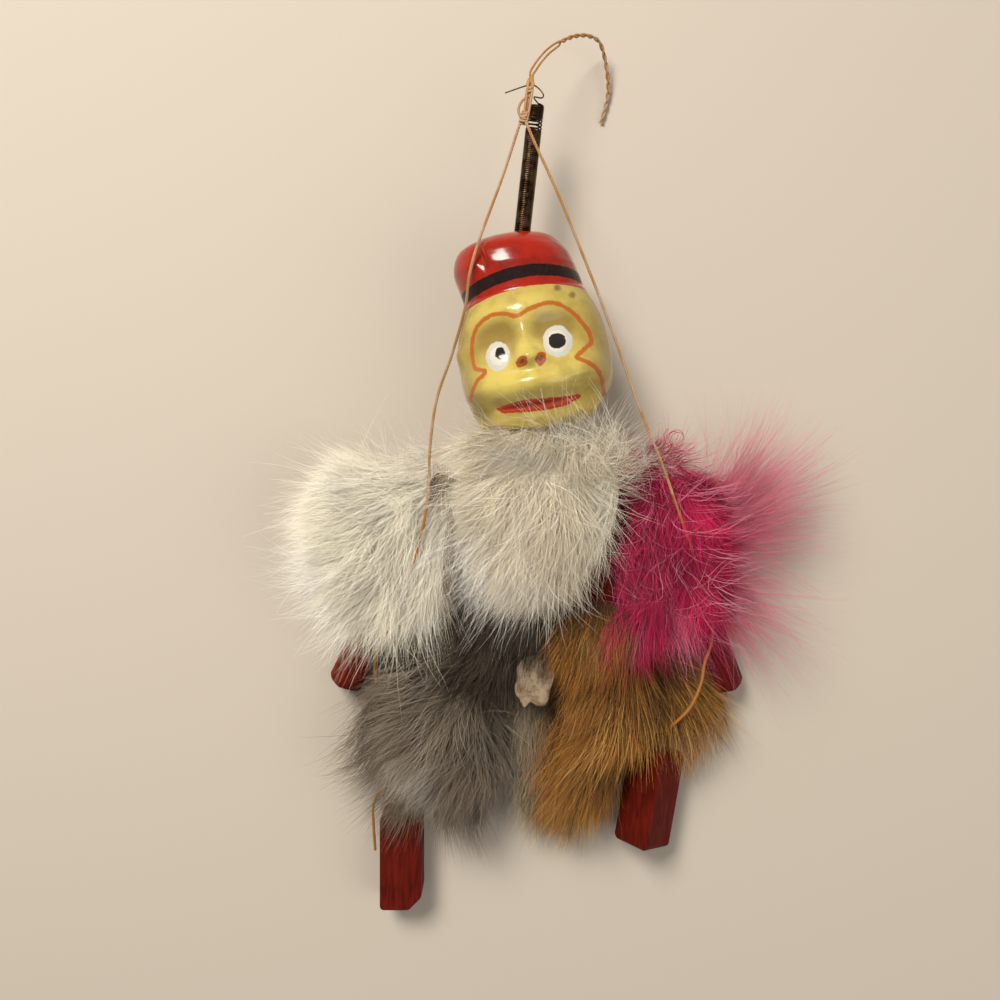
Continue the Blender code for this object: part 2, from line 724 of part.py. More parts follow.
def add_dowel(body, wood, wire):
    """The dowel from the body through the head, with the post in its top that the spring is pushed over."""
    way = spring_way()
    seat = Vector(CROWN_HOLE) - SPRING_SUNK * way
    foot = Vector(DOWEL_FOOT)
    top = seat - CLEARANCE * way
    along = (top - foot).normalized()
    radius = DOWEL_DIAMETER / 2
    length = (top - foot).length
    steps = [(0, radius - 0.3), (0.5, radius), (length - 0.5, radius), (length, radius - 0.3)]
    rings = [section(foot + s * along, along, h, 2, 0.0) for s, h in steps]
    dowel = add_object("neck_dowel", loft("neck_dowel", rings), foot, wood)
    bore(body, "dowel_socket", foot - 0.6 * along, foot + 9.0 * along, radius + CLEARANCE)
    post = POST_DIAMETER / 2
    start = seat - POST_GRIP * way
    end = seat + POST_REACH * way
    bore(dowel, "post_hole", start - CLEARANCE * way, seat + way, post + CLEARANCE, sides=12)
    length = POST_GRIP + POST_REACH
    steps = [(0, 0.5 * post), (0.6, post), (length - 0.3, post), (length, 0.7 * post)]
    rings = [section(start + s * way, way, h, 2, 0.0, count=12) for s, h in steps]
    add_object("spring_post", loft("spring_post", rings), end, wire)


def spring_seat():
    return Vector(CROWN_HOLE) - (SPRING_SUNK - SPRING_WIRE / 2 - CLEARANCE) * spring_way()


def with_spring_end(route, share_at_end):
    """A route moved with the spring's end: all of it at its first point, fading to a share at its last."""
    end = spring_seat() + SPRING_PITCH * SPRING_TURNS * spring_way()
    move = end - Vector(ROUTES_SPRING_END)
    shares = np.linspace(1.0, share_at_end, len(route))
    return [Vector(point) + float(share) * move for point, share in zip(route, shares)]


def add_spring(steel):
    """The spring's turns as one tube, worked out from its pitch, and its least gap to itself."""
    way = spring_way()
    side, up = across(way)
    seat = spring_seat()
    radius = (SPRING_DIAMETER - SPRING_WIRE) / 2
    points = []
    for k in range(SPRING_TURNS * SPRING_POINTS + 1):
        turns = k / SPRING_POINTS
        t = 2 * math.pi * turns
        points.append(seat + SPRING_PITCH * turns * way + radius * (math.cos(t) * side + math.sin(t) * up))
    tube("spring", points, SPRING_WIRE, steel, resolution=1)
    line = np.array([tuple(p) for p in points])
    ahead = SPRING_POINTS // 2 + 1
    least = min(np.linalg.norm(line[k + ahead :] - p, axis=1).min() for k, p in enumerate(line[: -ahead - 1]))
    print(f"least gap between the spring's turns: {least - SPRING_WIRE:.2f} mm")


def add_hanger(steel, thread):
    """What the spring's free end carries: its wire hook, the knot and the loose end of the string."""
    hook = with_spring_end(HOOK_ROUTE, 1.0)
    tube("spring_hook", smooth_route(hook, 0.9), SPRING_WIRE, steel, resolution=1)
    top, foot = with_spring_end([KNOT_TOP, KNOT_FOOT], 1.0)
    way = (foot - top).normalized()
    length = (foot - top).length
    rings = []
    for k in range(13):
        share = k / 12
        wraps = 0.82 + 0.18 * math.cos(2 * math.pi * 3 * share)
        ends = min(1.0, 0.45 + 4.0 * min(share, 1 - share))
        rings.append(section(top + share * length * way, way, KNOT_RADIUS * wraps * ends, 2, 0.0, count=10))
    add_object("string_knot", loft("string_knot", rings), top, thread)
    tail = with_spring_end(TAIL_ROUTE, 1.0)
    tube("string_tail", smooth_route(tail, CORD_STEP * TAIL_DIAMETER), TAIL_DIAMETER, thread)


def add_strings(thread):
    for name, route in (
        ("white_upper_string", with_spring_end(WHITE_UPPER_ROUTE, 0.0)),
        ("pink_upper_string", with_spring_end(PINK_UPPER_ROUTE, 0.0)),
        ("white_lower_string", WHITE_LOWER_ROUTE),
        ("pink_lower_string", PINK_LOWER_ROUTE),
    ):
        tube(name, smooth_route(route, CORD_STEP * STRING_DIAMETER), STRING_DIAMETER, thread)


def main():
    clear_scene()
    red_wood = material("red_wood", (0.42, 0.035, 0.02), 0.55)
    bare_wood = material("bare_wood", (0.55, 0.38, 0.2), 0.7)
    staple_wire = material("staple_wire", (0.08, 0.075, 0.07), 0.45, 1.0)
    spring_steel = material("spring_steel", (0.06, 0.045, 0.025), 0.3, 1.0)
    celluloid = material("celluloid", (0.62, 0.45, 0.1), 0.25)
    thread = material("thread", (0.6, 0.25, 0.05), 0.8)
    fur = {
        "white": material("white_fur", (0.62, 0.56, 0.45), 0.9),
        "pink": material("pink_fur", (0.75, 0.05, 0.22), 0.9),
        "grey": material("grey_fur", (0.2, 0.17, 0.14), 0.9),
        "tan": material("tan_fur", (0.4, 0.19, 0.04), 0.9),
        "pelt": material("back_pelt", (0.25, 0.2, 0.14), 0.9),
        "pale": material("pale_fur", (0.45, 0.38, 0.27), 0.9),
    }
    body = add_body(red_wood)
    add_dowel(body, bare_wood, staple_wire)
    add_arms(body, red_wood, staple_wire, fur)
    add_legs(body, red_wood, staple_wire, fur)
    add_body_fur(fur)
    head_shell("head_front", -90, 90, FACE_STEPS, SEAM_GAP / 2, celluloid)
    head_shell("head_back", 90, 270, BACK_STEPS, -SEAM_GAP / 2, celluloid)
    add_spring(spring_steel)
    add_hanger(spring_steel, thread)
    add_strings(thread)


main()
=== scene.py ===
"""Celluloid monkey toy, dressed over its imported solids: a painted head, a close-wound spring, twisted pull
strings, worn red wood and combed fur. It lies on its back on a pale floor, seen from straight above."""

import math

import bmesh
import bpy
import numpy as np
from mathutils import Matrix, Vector
from mathutils.kdtree import KDTree


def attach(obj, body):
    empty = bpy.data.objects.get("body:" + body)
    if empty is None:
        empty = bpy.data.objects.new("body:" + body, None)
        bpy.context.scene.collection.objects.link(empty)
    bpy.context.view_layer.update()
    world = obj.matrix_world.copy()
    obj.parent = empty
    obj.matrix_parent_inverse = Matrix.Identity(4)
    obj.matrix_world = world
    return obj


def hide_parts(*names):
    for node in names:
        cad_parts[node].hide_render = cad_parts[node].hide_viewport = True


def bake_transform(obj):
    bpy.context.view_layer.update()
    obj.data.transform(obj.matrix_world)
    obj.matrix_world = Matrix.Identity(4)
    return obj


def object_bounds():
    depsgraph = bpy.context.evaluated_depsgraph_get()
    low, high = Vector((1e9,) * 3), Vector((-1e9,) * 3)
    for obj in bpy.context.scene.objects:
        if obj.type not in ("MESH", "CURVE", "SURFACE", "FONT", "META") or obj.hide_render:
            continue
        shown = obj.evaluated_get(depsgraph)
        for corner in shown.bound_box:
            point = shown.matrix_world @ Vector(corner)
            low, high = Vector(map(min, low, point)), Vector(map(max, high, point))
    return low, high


bl_info = {
    "name": "Celluloid Monkey Toy",
    "version": (1, 0, 0),
    "blender": (4, 5, 0),
    "location": "3D View > Sidebar > Toy",
    "description": "Builds the looks of a celluloid monkey toy over its packed solids",
    "category": "Add Mesh",
}

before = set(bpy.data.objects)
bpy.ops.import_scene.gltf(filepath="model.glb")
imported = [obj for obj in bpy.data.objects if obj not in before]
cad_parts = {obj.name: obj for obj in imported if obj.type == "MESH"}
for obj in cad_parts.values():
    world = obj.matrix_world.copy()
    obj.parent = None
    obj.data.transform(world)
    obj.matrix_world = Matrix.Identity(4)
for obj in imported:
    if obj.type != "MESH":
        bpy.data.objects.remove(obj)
CAD_BOX = [[float(v) for v in corner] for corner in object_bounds()]
MM = 0.001

# Head, in millimetres and degrees, as in the solids
HEAD_CENTRE = (-2.6, 34.0, 12.9)
HEAD_ROLL = math.radians(10.0)
HEAD_RIGHT = np.array((math.cos(HEAD_ROLL), math.sin(HEAD_ROLL), 0.0))
HEAD_UP = np.array((-math.sin(HEAD_ROLL), math.cos(HEAD_ROLL), 0.0))
FACE_YAW = math.radians(-8.0)
HEAD_DEPTH_SHARE = 0.93
HEAD_CHIN = -14.4
HEAD_SIDES = [
    (3.3, -13.9), (5.0, -14.2), (7.6, -13.4), (10.2, -11.4), (12.0, -8.8), (12.9, -6.2), (13.2, -3.5),
    (13.2, -0.8), (13.0, 1.8), (12.6, 4.2), (12.0, 6.3), (11.3, 8.0), (10.8, 9.2),
]
HAT_BASE = 9.6
HAT_SHOULDER = 14.4
HAT_TOP = 20.6
HAT_RADIUS = 10.4
HAT_LEAN = 0.9
HAT_TURNS = (9, 18, 26, 34, 41, 48, 54, 60, 65, 70, 75, 79)
CROWN_RADIUS = 2.1
NECK_OFFSET = (-1.3, -4.4)
SEAM_GAP = 0.3
PROFILE_STEPS = 2000
CROWN_HOLE = (-4.4, 54.3, 12.9)

# Swellings of the face: height, across, up, half width, half height, and the line that mirrors it if any
FACE_FORMS = (
    (-1.9, 4.9, 1.1, 4.0, 3.5, 0.0),  # eye sockets
    (1.7, 5.0, -0.6, 2.5, 2.5, 0.0),  # eyeballs
    (0.5, 0.0, 6.8, 8.0, 2.2, None),  # brow
    (1.1, 0.2, -0.4, 1.7, 2.6, None),  # nose
    (2.0, 0.5, -2.2, 2.3, 1.5, None),  # nose tip
    (-0.35, 1.4, -3.1, 0.6, 0.6, 0.0),  # nostrils
    (-0.5, 0.0, -4.3, 3.4, 0.8, None),  # fold under the nose
    (2.5, 0.0, -6.5, 7.6, 2.9, None),  # lip
    (2.0, 0.0, -12.4, 5.6, 2.9, None),  # chin
    (-0.6, 7.6, -8.6, 1.8, 1.8, 0.0),  # corners of the mouth
    (0.9, 9.0, -4.6, 3.0, 3.0, 0.0),  # cheeks
    (0.8, -12.4, 1.3, 1.5, 1.6, None),  # ear
)
# Painted shade, in the same columns: olive swellings laid above the eye sockets, beside the nose and under
# the lip
FACE_SHADE = (
    (1.5, 3.7, 2.9, 1.9, 1.9, 0.0),
    (0.9, 6.6, 2.6, 2.0, 2.0, 0.0),
    (0.9, 2.7, -1.1, 0.9, 1.5, 0.5),
    (1.1, 0.0, -8.1, 5.6, 0.9, None),
)

# Painted marks, across and up from the head's centre, in the face's own frame
BROW_LINE = [
    (-11.31, -6.78), (-9.35, -4.35), (-7.41, -2.98), (-9.31, -1.78), (-9.39, 1.63), (-8.12, 4.52),
    (-5.18, 5.98), (-2.75, 5.66), (-0.67, 4.84), (1.92, 5.71), (4.88, 6.13), (7.44, 4.88), (9.42, 2.33),
    (10.36, -0.84), (8.6, -2.65), (7.66, -3.56), (9.95, -5.13), (10.89, -6.92), (10.82, -9.34),
]
MOUTH = [
    (-6.88, -9.15), (-2.63, -8.98), (1.44, -9.23), (4.59, -9.34), (6.85, -9.32), (5.17, -10.14),
    (1.81, -10.6), (-2.28, -10.4), (-5.65, -9.89),
]
STAINS = ((8.6, 7.2), (6.4, 8.6))

# Painted ovals: across, up, half width, half height, tilt
EYES = [(-4.95, -0.95, 2.08, 2.5, 0.0), (5.05, -0.35, 2.34, 2.76, 0.0)]
PUPILS = [(-4.42, -0.65, 0.84, 1.15, 0.0), (5.0, -0.35, 1.38, 1.36, 0.0)]
NOSTRILS = [(-0.98, -2.9, 1.15, 0.78, 0.35), (2.05, -2.95, 0.8, 1.15, -0.4)]

# Spring, its hook and the strings, in millimetres, as in the solids
SPRING_WAY = Vector((0.1097, 0.994, 0.0)).normalized()
SPRING_SEAT = Vector((-4.95, 51.805, 12.9))
SPRING_END = Vector((-2.15, 77.1, 12.9))
SPRING_RADIUS = 1.3
SPRING_TURN_STEPS = 14
SPRING_PARTED = (4.6, 1.9)
HOOK_ROUTE = [
    (-2.6, 78.05, 14.45), (-1.3, 77.9, 14.45), (-0.95, 78.5, 14.3), (-1.7, 79.7, 14.0), (-2.9, 80.45, 13.9),
    (-4.3, 80.15, 13.9), (-7.6, 79.0, 13.9),
]
KNOT_STRANDS = [
    [(-3.15, 81.2, 15.4), (-3.3, 78.9, 15.6), (-3.65, 76.6, 15.7), (-4.2, 74.4, 15.7), (-4.75, 72.9, 15.4)],
    [(-2.95, 81.3, 15.5), (-2.95, 78.6, 15.9), (-3.3, 76.2, 16.0), (-3.7, 74.2, 15.9), (-4.05, 72.8, 15.8)],
    [(-3.5, 80.2, 15.9), (-3.9, 78.2, 16.1), (-4.1, 76.2, 16.1), (-4.35, 74.0, 15.8)],
    [
        (-3.7, 77.6, 16.0), (-4.7, 76.6, 16.3), (-5.3, 75.3, 16.3), (-5.0, 74.1, 16.1), (-4.2, 74.0, 16.2),
        (-3.8, 74.8, 16.2),
    ],
    [(-3.4, 80.9, 15.2), (-3.75, 79.8, 15.6), (-3.3, 78.9, 16.1), (-2.75, 79.5, 15.8), (-2.9, 80.6, 15.4)],
]
TAIL_ROUTE = [
    (-3.05, 80.75, 15.4), (-2.78, 82.35, 15.0), (-0.09, 86.6, 13.0), (4.01, 90.67, 9.6), (7.9, 92.43, 6.4),
    (10.33, 91.48, 3.8), (11.75, 85.2, 1.2), (10.48, 78.96, 0.6),
]
WHITE_STRING = [
    (-4.9, 73.6, 15.4), (-7.95, 63.58, 17.2), (-11.8, 51.89, 21.1), (-13.48, 46.08, 20.9),
    (-14.4, 40.57, 18.6), (-16.7, 33.35, 16.0), (-19.4, 25.78, 14.6), (-20.62, 17.15, 14.0),
    (-21.0, 8.6, 13.4), (-23.2, -1.0, 12.4), (-27.0, -11.0, 9.6), (-30.8, -19.9, 6.8), (-31.0, -24.0, 6.2),
    (-30.4, -29.0, 5.8), (-29.2, -35.0, 5.0), (-28.4, -40.0, 6.2), (-28.7, -42.9, 7.4), (-30.3, -44.4, 7.0),
    (-31.5, -47.2, 5.6), (-31.7, -51.0, 4.0), (-31.5, -56.2, 3.0),
]
PINK_STRING = [
    (-4.0, 73.3, 15.9), (-2.6, 69.8, 16.0), (1.9, 60.1, 15.5), (7.5, 46.5, 14.8), (9.2, 42.2, 14.5),
    (12.1, 34.5, 14.2), (15.8, 24.1, 14.0), (19.7, 14.5, 14.0), (22.3, 7.0, 14.0), (26.0, -3.0, 12.8),
    (29.0, -11.0, 10.6), (29.3, -17.2, 8.4), (28.0, -20.6, 9.2), (27.2, -24.2, 9.8), (25.4, -28.2, 9.8),
    (23.0, -31.2, 8.8), (21.6, -33.2, 6.6),
]
STRING_STEPS = 599
PLIES = 3
TWIST_PITCH = 3.2

# Shoulders, hips and the middle of the bib, in millimetres
WHITE_SHOULDER = Vector((-19.0, 11.8, 7.0))
PINK_SHOULDER = Vector((19.0, 12.8, 7.0))
GREY_HIP = Vector((-9.0, -21.0, 7.0))
TAN_HIP = Vector((8.0, -21.0, 7.0))
BIB_HEART = Vector((-1.0, 15.0, 0.0))

# How far each coat's edge lies from its pivot, by degrees from -Y towards +X
WHITE_EDGE = {
    -180: 8, -143: 11, -112: 18, -95: 22, -80: 25, -60: 28, -45: 31, -30: 33, -15: 31, 0: 25, 10: 19, 30: 10,
    180: 8,
}
PINK_EDGE = {
    -180: 7, -100: 7, -54: 8, -30: 12, -21: 24, -15: 29, -4: 32, 14: 33, 24: 31, 30: 27, 38: 22, 48: 16.5,
    70: 13, 96: 10, 134: 9, 180: 8,
}
GREY_EDGE = {
    -180: 8, -100: 18, -80: 24, -60: 28, -46: 29.5, -35: 28.4, -25: 29.5, -18: 31, 0: 28, 6: 20, 30: 10,
    180: 8,
}
TAN_EDGE = {
    -180: 8, -90: 9, -56: 12, -31: 20, -17: 31, -1: 33, 10: 27, 17: 19.5, 32: 21, 43: 25, 52: 31, 68: 30,
    82: 27, 120: 12, 180: 8,
}
BIB_EDGE = {
    -180: 8, -120: 12, -90: 15, -60: 17, -42: 20.8, -26: 25.2, -8: 25.4, 8: 23.6, 15: 21.8, 28: 18.4,
    41: 16.2, 60: 13.4, 77: 11.6, 90: 10.6, 120: 9, 180: 8,
}

# Which way each coat is combed, by the same angle
WHITE_COMB = {-180: -150, -110: -104, -60: -66, -26: -34, 0: -8, 60: 20, 180: 120}
PINK_COMB = {-180: -120, -60: -30, -5: -14, 20: 10, 45: 36, 70: 62, 100: 96, 140: 130, 180: 150}
PINK_WISPS_COMB = {-180: 70, 20: 50, 50: 74, 75: 104, 100: 121, 130: 124, 180: 126}
GREY_COMB = {-180: -100, -90: -56, -60: -40, -35: -24, -5: -4, 40: 14, 180: 60}
GREY_WISPS_COMB = {-120: -52, -60: -36, -25: -8, 0: -4}
TAN_COMB = {-180: -60, -40: -26, 0: -22, 18: -18, 32: -4, 50: 26, 75: 44, 180: 80}
BIB_COMB = {-180: -150, -90: -84, -60: -64, -35: -40, 0: -12, 35: 8, 60: 24, 90: 60, 180: 150}
BIB_GUARD_COMB = {-180: -150, -90: -90, -50: -50, -20: -24, 0: -6, 30: 12, 60: 30, 90: 76, 180: 150}
COLLAR_COMB = {-180: -176, -120: -120, -90: -100, -60: -84, 60: 70, 90: 98, 120: 120, 180: 176}

# The scrap of bare hide: its place, and how far its edge lies at each angle from +X
HIDE_PLACE = Vector((-3.0, -21.8, 13.6))
HIDE_EDGE = {
    -180: 2.6, -156: 2.8, -132: 4.1, -116: 4.8, -103: 6.2, -91: 4.9, -80: 5.6, -66: 5.7, -41: 4.4, -10: 3.9,
    10: 3.9, 43: 4.8, 77: 4.6, 110: 3.4, 140: 2.7, 180: 2.6,
}

# How far hairs may reach past the solids' box, and how low they may lie over the floor
HAIR_MARGIN = 11.5
HAIR_FLOOR = 0.06

CAMERA_SPOT = (-8.46, 8.46, 180.0)
CAMERA_LENS = 34.5
LAMPS = (
    ("window", (-210.0, 300.0, 440.0), 210.0, 4.5, (1.0, 0.95, 0.87)),
    ("fill", (380.0, -160.0, 420.0), 420.0, 1.2, (1.0, 0.96, 0.92)),
)


def length_prop(name, description, default):
    return bpy.props.FloatProperty(
        name=name, description=description, default=default * MM, min=0.0, unit="LENGTH", precision=5
    )


def colour_prop(name, description, default):
    return bpy.props.FloatVectorProperty(
        name=name, description=description, default=default, size=3, min=0.0, max=1.0, subtype="COLOR"
    )


class ToySizes(bpy.types.PropertyGroup):
    """Sizes that a user would change."""

    string_diameter: length_prop("String", "Diameter of the pull strings", 0.55)
    tail_diameter: length_prop("String end", "Diameter of the two-strand loose end", 0.85)
    spring_wire: length_prop("Spring wire", "Diameter of the spring's wire", 0.31)
    head_wall: length_prop("Celluloid", "Wall of the moulded head", 0.8)
    hair_width: length_prop("Hair", "Width of a hair at its root", 0.074)
    hair_share: bpy.props.FloatProperty(
        name="Hair count",
        description="Share of the full number of hairs that is grown",
        default=0.94,
        min=0.05,
        max=1.0,
        subtype="FACTOR",
    )


class ToyColours(bpy.types.PropertyGroup):
    """Colours that a user would change."""

    face: colour_prop("Face", "Yellow of the painted face", (0.49, 0.385, 0.088))
    # Painted shade: this olive is laid where the face's hollows, sides and forehead top fall in shade; it
    # also tints the face's random dull clouds
    face_shade: colour_prop("Face shade", "Olive in the face's hollows", (0.17, 0.105, 0.022))
    face_line: colour_prop("Face line", "Orange of the lines round the eyes", (0.35, 0.072, 0.008))
    mouth: colour_prop("Mouth", "Red of the mouth", (0.44, 0.03, 0.006))
    hat: colour_prop("Hat", "Red of the hat", (0.28, 0.01, 0.002))
    band: colour_prop("Hat band", "Black of the hat band", (0.012, 0.004, 0.004))
    eye: colour_prop("Eyes", "White of the eyes", (0.54, 0.50, 0.41))
    pupil: colour_prop("Pupils", "Black of the pupils", (0.012, 0.009, 0.008))
    wood: colour_prop("Red wood", "Red stain on the wood", (0.10, 0.006, 0.002))
    string: colour_prop("String", "Orange of the string", (0.37, 0.18, 0.045))
    dyed_string: colour_prop("Dyed string", "Orange of the string among the fur", (0.42, 0.155, 0.022))
    white_fur: colour_prop("White fur", "Tips of the white fur", (0.90, 0.845, 0.70))
    pink_fur: colour_prop("Pink fur", "Dyed pink fur", (0.56, 0.016, 0.09))
    grey_fur: colour_prop("Grey fur", "Grey fur", (0.27, 0.212, 0.15))
    tan_fur: colour_prop("Tan fur", "Golden-brown fur", (0.40, 0.165, 0.03))
    floor: colour_prop("Floor", "Pale floor", (0.43, 0.38, 0.32))


# Finishes

# Each finish by its name, since the solids' own materials share some of the names
FINISHES = {}


def shade(colour, *shares):
    """A colour times one share, or times a share for each of its channels."""
    return tuple(c * k for c, k in zip(colour, shares if len(shares) == 3 else shares * 3))


class Graph:
    """A node tree, with short ways to add the nodes that the finishes use."""

    def __init__(self, tree):
        self.tree = tree

    def fill(self, made, inputs):
        """Sets a node's inputs, or links them to another node's output. A colour's alpha may be left out."""
        for key, value in inputs.items():
            socket = made.inputs[key]
            if isinstance(value, bpy.types.NodeSocket):
                self.tree.links.new(value, socket)
            elif socket.type == "RGBA":
                socket.default_value = (*value[:3], 1.0)
            else:
                socket.default_value = value

    def add(self, kind, inputs, **settings):
        made = self.tree.nodes.new(kind)
        for key, value in settings.items():
            setattr(made, key, value)
        self.fill(made, inputs)
        return made.outputs

    def mix(self, factor, a, b, blend="MIX"):
        return self.add("ShaderNodeMix", {0: factor, 6: a, 7: b}, data_type="RGBA", blend_type=blend)[2]

    def layers(self, tone, *coats):
        """Colours laid over a tone one after another, each through its mask."""
        for mask, colour in coats:
            tone = self.mix(mask, tone, colour)
        return tone

    def work(self, operation, a, b=0.0):
        return self.add("ShaderNodeMath", {0: a, 1: b}, operation=operation)[0]

    def plus(self, a, b):
        return self.work("ADD", a, b)

    def minus(self, a, b):
        return self.work("SUBTRACT", a, b)

    def times(self, a, b):
        return self.work("MULTIPLY", a, b)

    def step(self, value, low, high, to_low=0.0, to_high=1.0):
        """A smooth step from to_low at low to to_high at high."""
        inputs = {"Value": value, "From Min": low, "From Max": high, "To Min": to_low, "To Max": to_high}
        return self.add("ShaderNodeMapRange", inputs, interpolation_type="SMOOTHSTEP")["Result"]

    def noise(self, place, scale, detail=3.0, roughness=0.55, distortion=0.0):
        inputs = {"Vector": place, "Scale": scale, "Detail": detail, "Roughness": roughness}
        return self.add("ShaderNodeTexNoise", {**inputs, "Distortion": distortion})["Fac"]

    def mark(self, name):
        """A value that the mesh carries."""
        return self.add("ShaderNodeAttribute", {}, attribute_name=name)["Fac"]

    def stretch(self, place, scale):
        return self.add("ShaderNodeMapping", {"Vector": place, "Scale": scale})[0]

    def place(self, turn=0.0, scale=(1, 1, 1)):
        """Object coordinates in millimetres, turned by radians round Z and then stretched."""
        there = self.add("ShaderNodeTexCoord", {})["Object"]
        turned = self.add("ShaderNodeMapping", {"Vector": there, "Rotation": (0, 0, turn)})[0]
        return self.stretch(turned, tuple(1000 * s for s in scale))

    def group(self, name, inputs):
        return self.add("ShaderNodeGroup", inputs, node_tree=bpy.data.node_groups[name])

    def bump(self, height, distance):
        inputs = {"Height": height, "Distance": distance * MM, "Strength": 1.0}
        return self.add("ShaderNodeBump", inputs)[0]


def new_group(name, inputs, outputs):
    """An empty shader node group. inputs maps a name to a default, whose length gives its kind."""
    tree = bpy.data.node_groups.new(name, "ShaderNodeTree")
    kinds = {3: "NodeSocketVector", 4: "NodeSocketColor"}
    for key, value in inputs.items():
        kind = kinds[len(value)] if isinstance(value, tuple) else "NodeSocketFloat"
        tree.interface.new_socket(key, in_out="INPUT", socket_type=kind).default_value = value
    for key in outputs:
        kind = "NodeSocketColor" if key == "Colour" else "NodeSocketFloat"
        tree.interface.new_socket(key, in_out="OUTPUT", socket_type=kind)
    return Graph(tree), tree.nodes.new("NodeGroupInput").outputs, tree.nodes.new("NodeGroupOutput")


def make_fibre_group():
    """Hair colour: from root to tip, lighter and darker hair by hair, with broad patches over the coat."""
    inputs = {
        "Along": 0.5,
        "Hair": 0.5,
        "Place": (0.0, 0.0, 0.0),
        "Root": (0.3, 0.3, 0.3, 1.0),
        "Tip": (0.8, 0.8, 0.8, 1.0),
        "Odd hairs": (0.5, 0.5, 0.5, 1.0),
        "Odd share": 0.15,
        "Root reach": 0.45,
        "Contrast": 0.15,
    }
    g, given, out = new_group("fibre_colour", inputs, ["Colour"])
    rise = g.step(given["Along"], 0.0, given["Root reach"])
    odd = g.work("LESS_THAN", given["Hair"], given["Odd share"])
    plain = g.layers(given["Root"], (rise, given["Tip"]), (g.times(odd, rise), given["Odd hairs"]))
    own = g.work("FRACT", g.times(given["Hair"], 7.31))
    low = g.minus(1.0, given["Contrast"])
    high = g.plus(1.0, g.times(given["Contrast"], 0.6))
    patch = g.step(g.noise(given["Place"], 0.16, 2.0), 0.3, 0.7, 0.88, 1.06)
    light = g.times(g.step(own, 0.0, 1.0, low, high), patch)
    grey = g.add("ShaderNodeCombineColor", {0: light, 1: light, 2: light})[0]
    g.fill(out, {"Colour": g.mix(1.0, plain, grey, "MULTIPLY")})


def make_grain_group():
    """Stained wood: grain along the first axis of Place, with dark pores and bare wear."""
    inputs = {
        "Place": (0.0, 0.0, 0.0),
        "Stain": (0.4, 0.04, 0.02, 1.0),
        "Dark": (0.12, 0.01, 0.008, 1.0),
        "Bare": (0.5, 0.3, 0.15, 1.0),
        "Wear": 0.0,
    }
    g, given, out = new_group("stained_grain", inputs, ["Colour", "Height", "Roughness"])
    stretched = g.stretch(given["Place"], (0.12, 1.0, 1.0))
    bands = g.noise(stretched, 1.3, 4.0, 0.6, 0.6)
    pores = g.noise(stretched, 5.0, 3.0, 0.7)
    cloud = g.noise(given["Place"], 0.35)
    rub = g.plus(given["Wear"], g.times(g.noise(given["Place"], 1.6, 5.0, 0.7), 0.9))
    tone = g.layers(
        given["Dark"],
        (g.step(bands, 0.35, 0.68), given["Stain"]),
        (g.step(pores, 0.60, 0.74, 0.0, 0.6), given["Dark"]),
        (g.step(cloud, 0.35, 0.75, 0.0, 0.45), given["Stain"]),
        (g.times(g.step(rub, 0.86, 1.05), 0.75), given["Bare"]),
    )
    rough = g.step(cloud, 0.3, 0.7, 0.42, 0.62)
    g.fill(out, {"Colour": tone, "Height": g.minus(bands, g.times(pores, 0.6)), "Roughness": rough})


def make_dirt_group():
    """Masks for old paint: fine specks, and broad dull clouds."""
    g, given, out = new_group("old_dirt", {"Place": (0.0, 0.0, 0.0)}, ["Specks", "Clouds"])
    fine = g.noise(given["Place"], 2.4, 6.0, 0.72)
    broad = g.noise(given["Place"], 0.22, 4.0, 0.6)
    g.fill(out, {"Specks": g.step(fine, 0.66, 0.76), "Clouds": g.step(broad, 0.4, 0.7)})


def make_strand_group():
    """Geometry nodes that turn lines of edges into three-sided hairs of the width that they carry."""
    tree = bpy.data.node_groups.new("strand_tube", "GeometryNodeTree")
    for way in ("INPUT", "OUTPUT"):
        tree.interface.new_socket("Geometry", in_out=way, socket_type="NodeSocketGeometry")
    g = Graph(tree)
    given = tree.nodes.new("NodeGroupInput").outputs
    lines = g.add("GeometryNodeMeshToCurve", {0: given[0]})[0]
    width = g.add("GeometryNodeInputNamedAttribute", {"Name": "width"}, data_type="FLOAT")[0]
    ring = g.add("GeometryNodeCurvePrimitiveCircle", {"Resolution": 3, "Radius": 1.0})[0]
    inputs = {"Curve": lines, "Profile Curve": ring, "Scale": width, "Fill Caps": True}
    tube = g.add("GeometryNodeCurveToMesh", inputs)[0]
    g.fill(tree.nodes.new("NodeGroupOutput"), {0: tube})


def new_material(name, sockets):
    made = bpy.data.materials.new(name)
    made.use_nodes = True
    FINISHES[name] = made
    shader = made.node_tree.nodes["Principled BSDF"]
    g = Graph(made.node_tree)
    g.fill(shader, sockets)
    return g, shader


def fur_material(name, root, tip, odd, odd_share, reach, contrast=0.15):
    g, shader = new_material(name, {"Roughness": 0.55, "Specular IOR Level": 0.28})
    inputs = {
        "Along": g.mark("along"),
        "Hair": g.mark("hair"),
        "Place": g.place(),
        "Root": root,
        "Tip": tip,
        "Odd hairs": odd,
        "Odd share": odd_share,
        "Root reach": reach,
        "Contrast": contrast,
    }
    g.fill(shader, {"Base Color": g.group("fibre_colour", inputs)["Colour"]})


def coat_material(name, dark, light, turn):
    """The matted coat under the hairs, streaked the way that it is combed. Its colours, darker than the
    hairs', are partly the underfur's own and partly painted shade deep in the fur.
    """
    g, shader = new_material(name, {"Roughness": 0.9, "Specular IOR Level": 0.1})
    streak = g.noise(g.place(turn, (1.0, 0.12, 1.0)), 2.2, 5.0, 0.7, 0.4)
    broad = g.noise(g.place(), 0.3)
    tone = g.layers(dark, (g.step(streak, 0.36, 0.66), light), (g.step(broad, 0.4, 0.7, 0.0, 0.45), dark))
    g.fill(shader, {"Base Color": tone, "Normal": g.bump(streak, 0.5)})


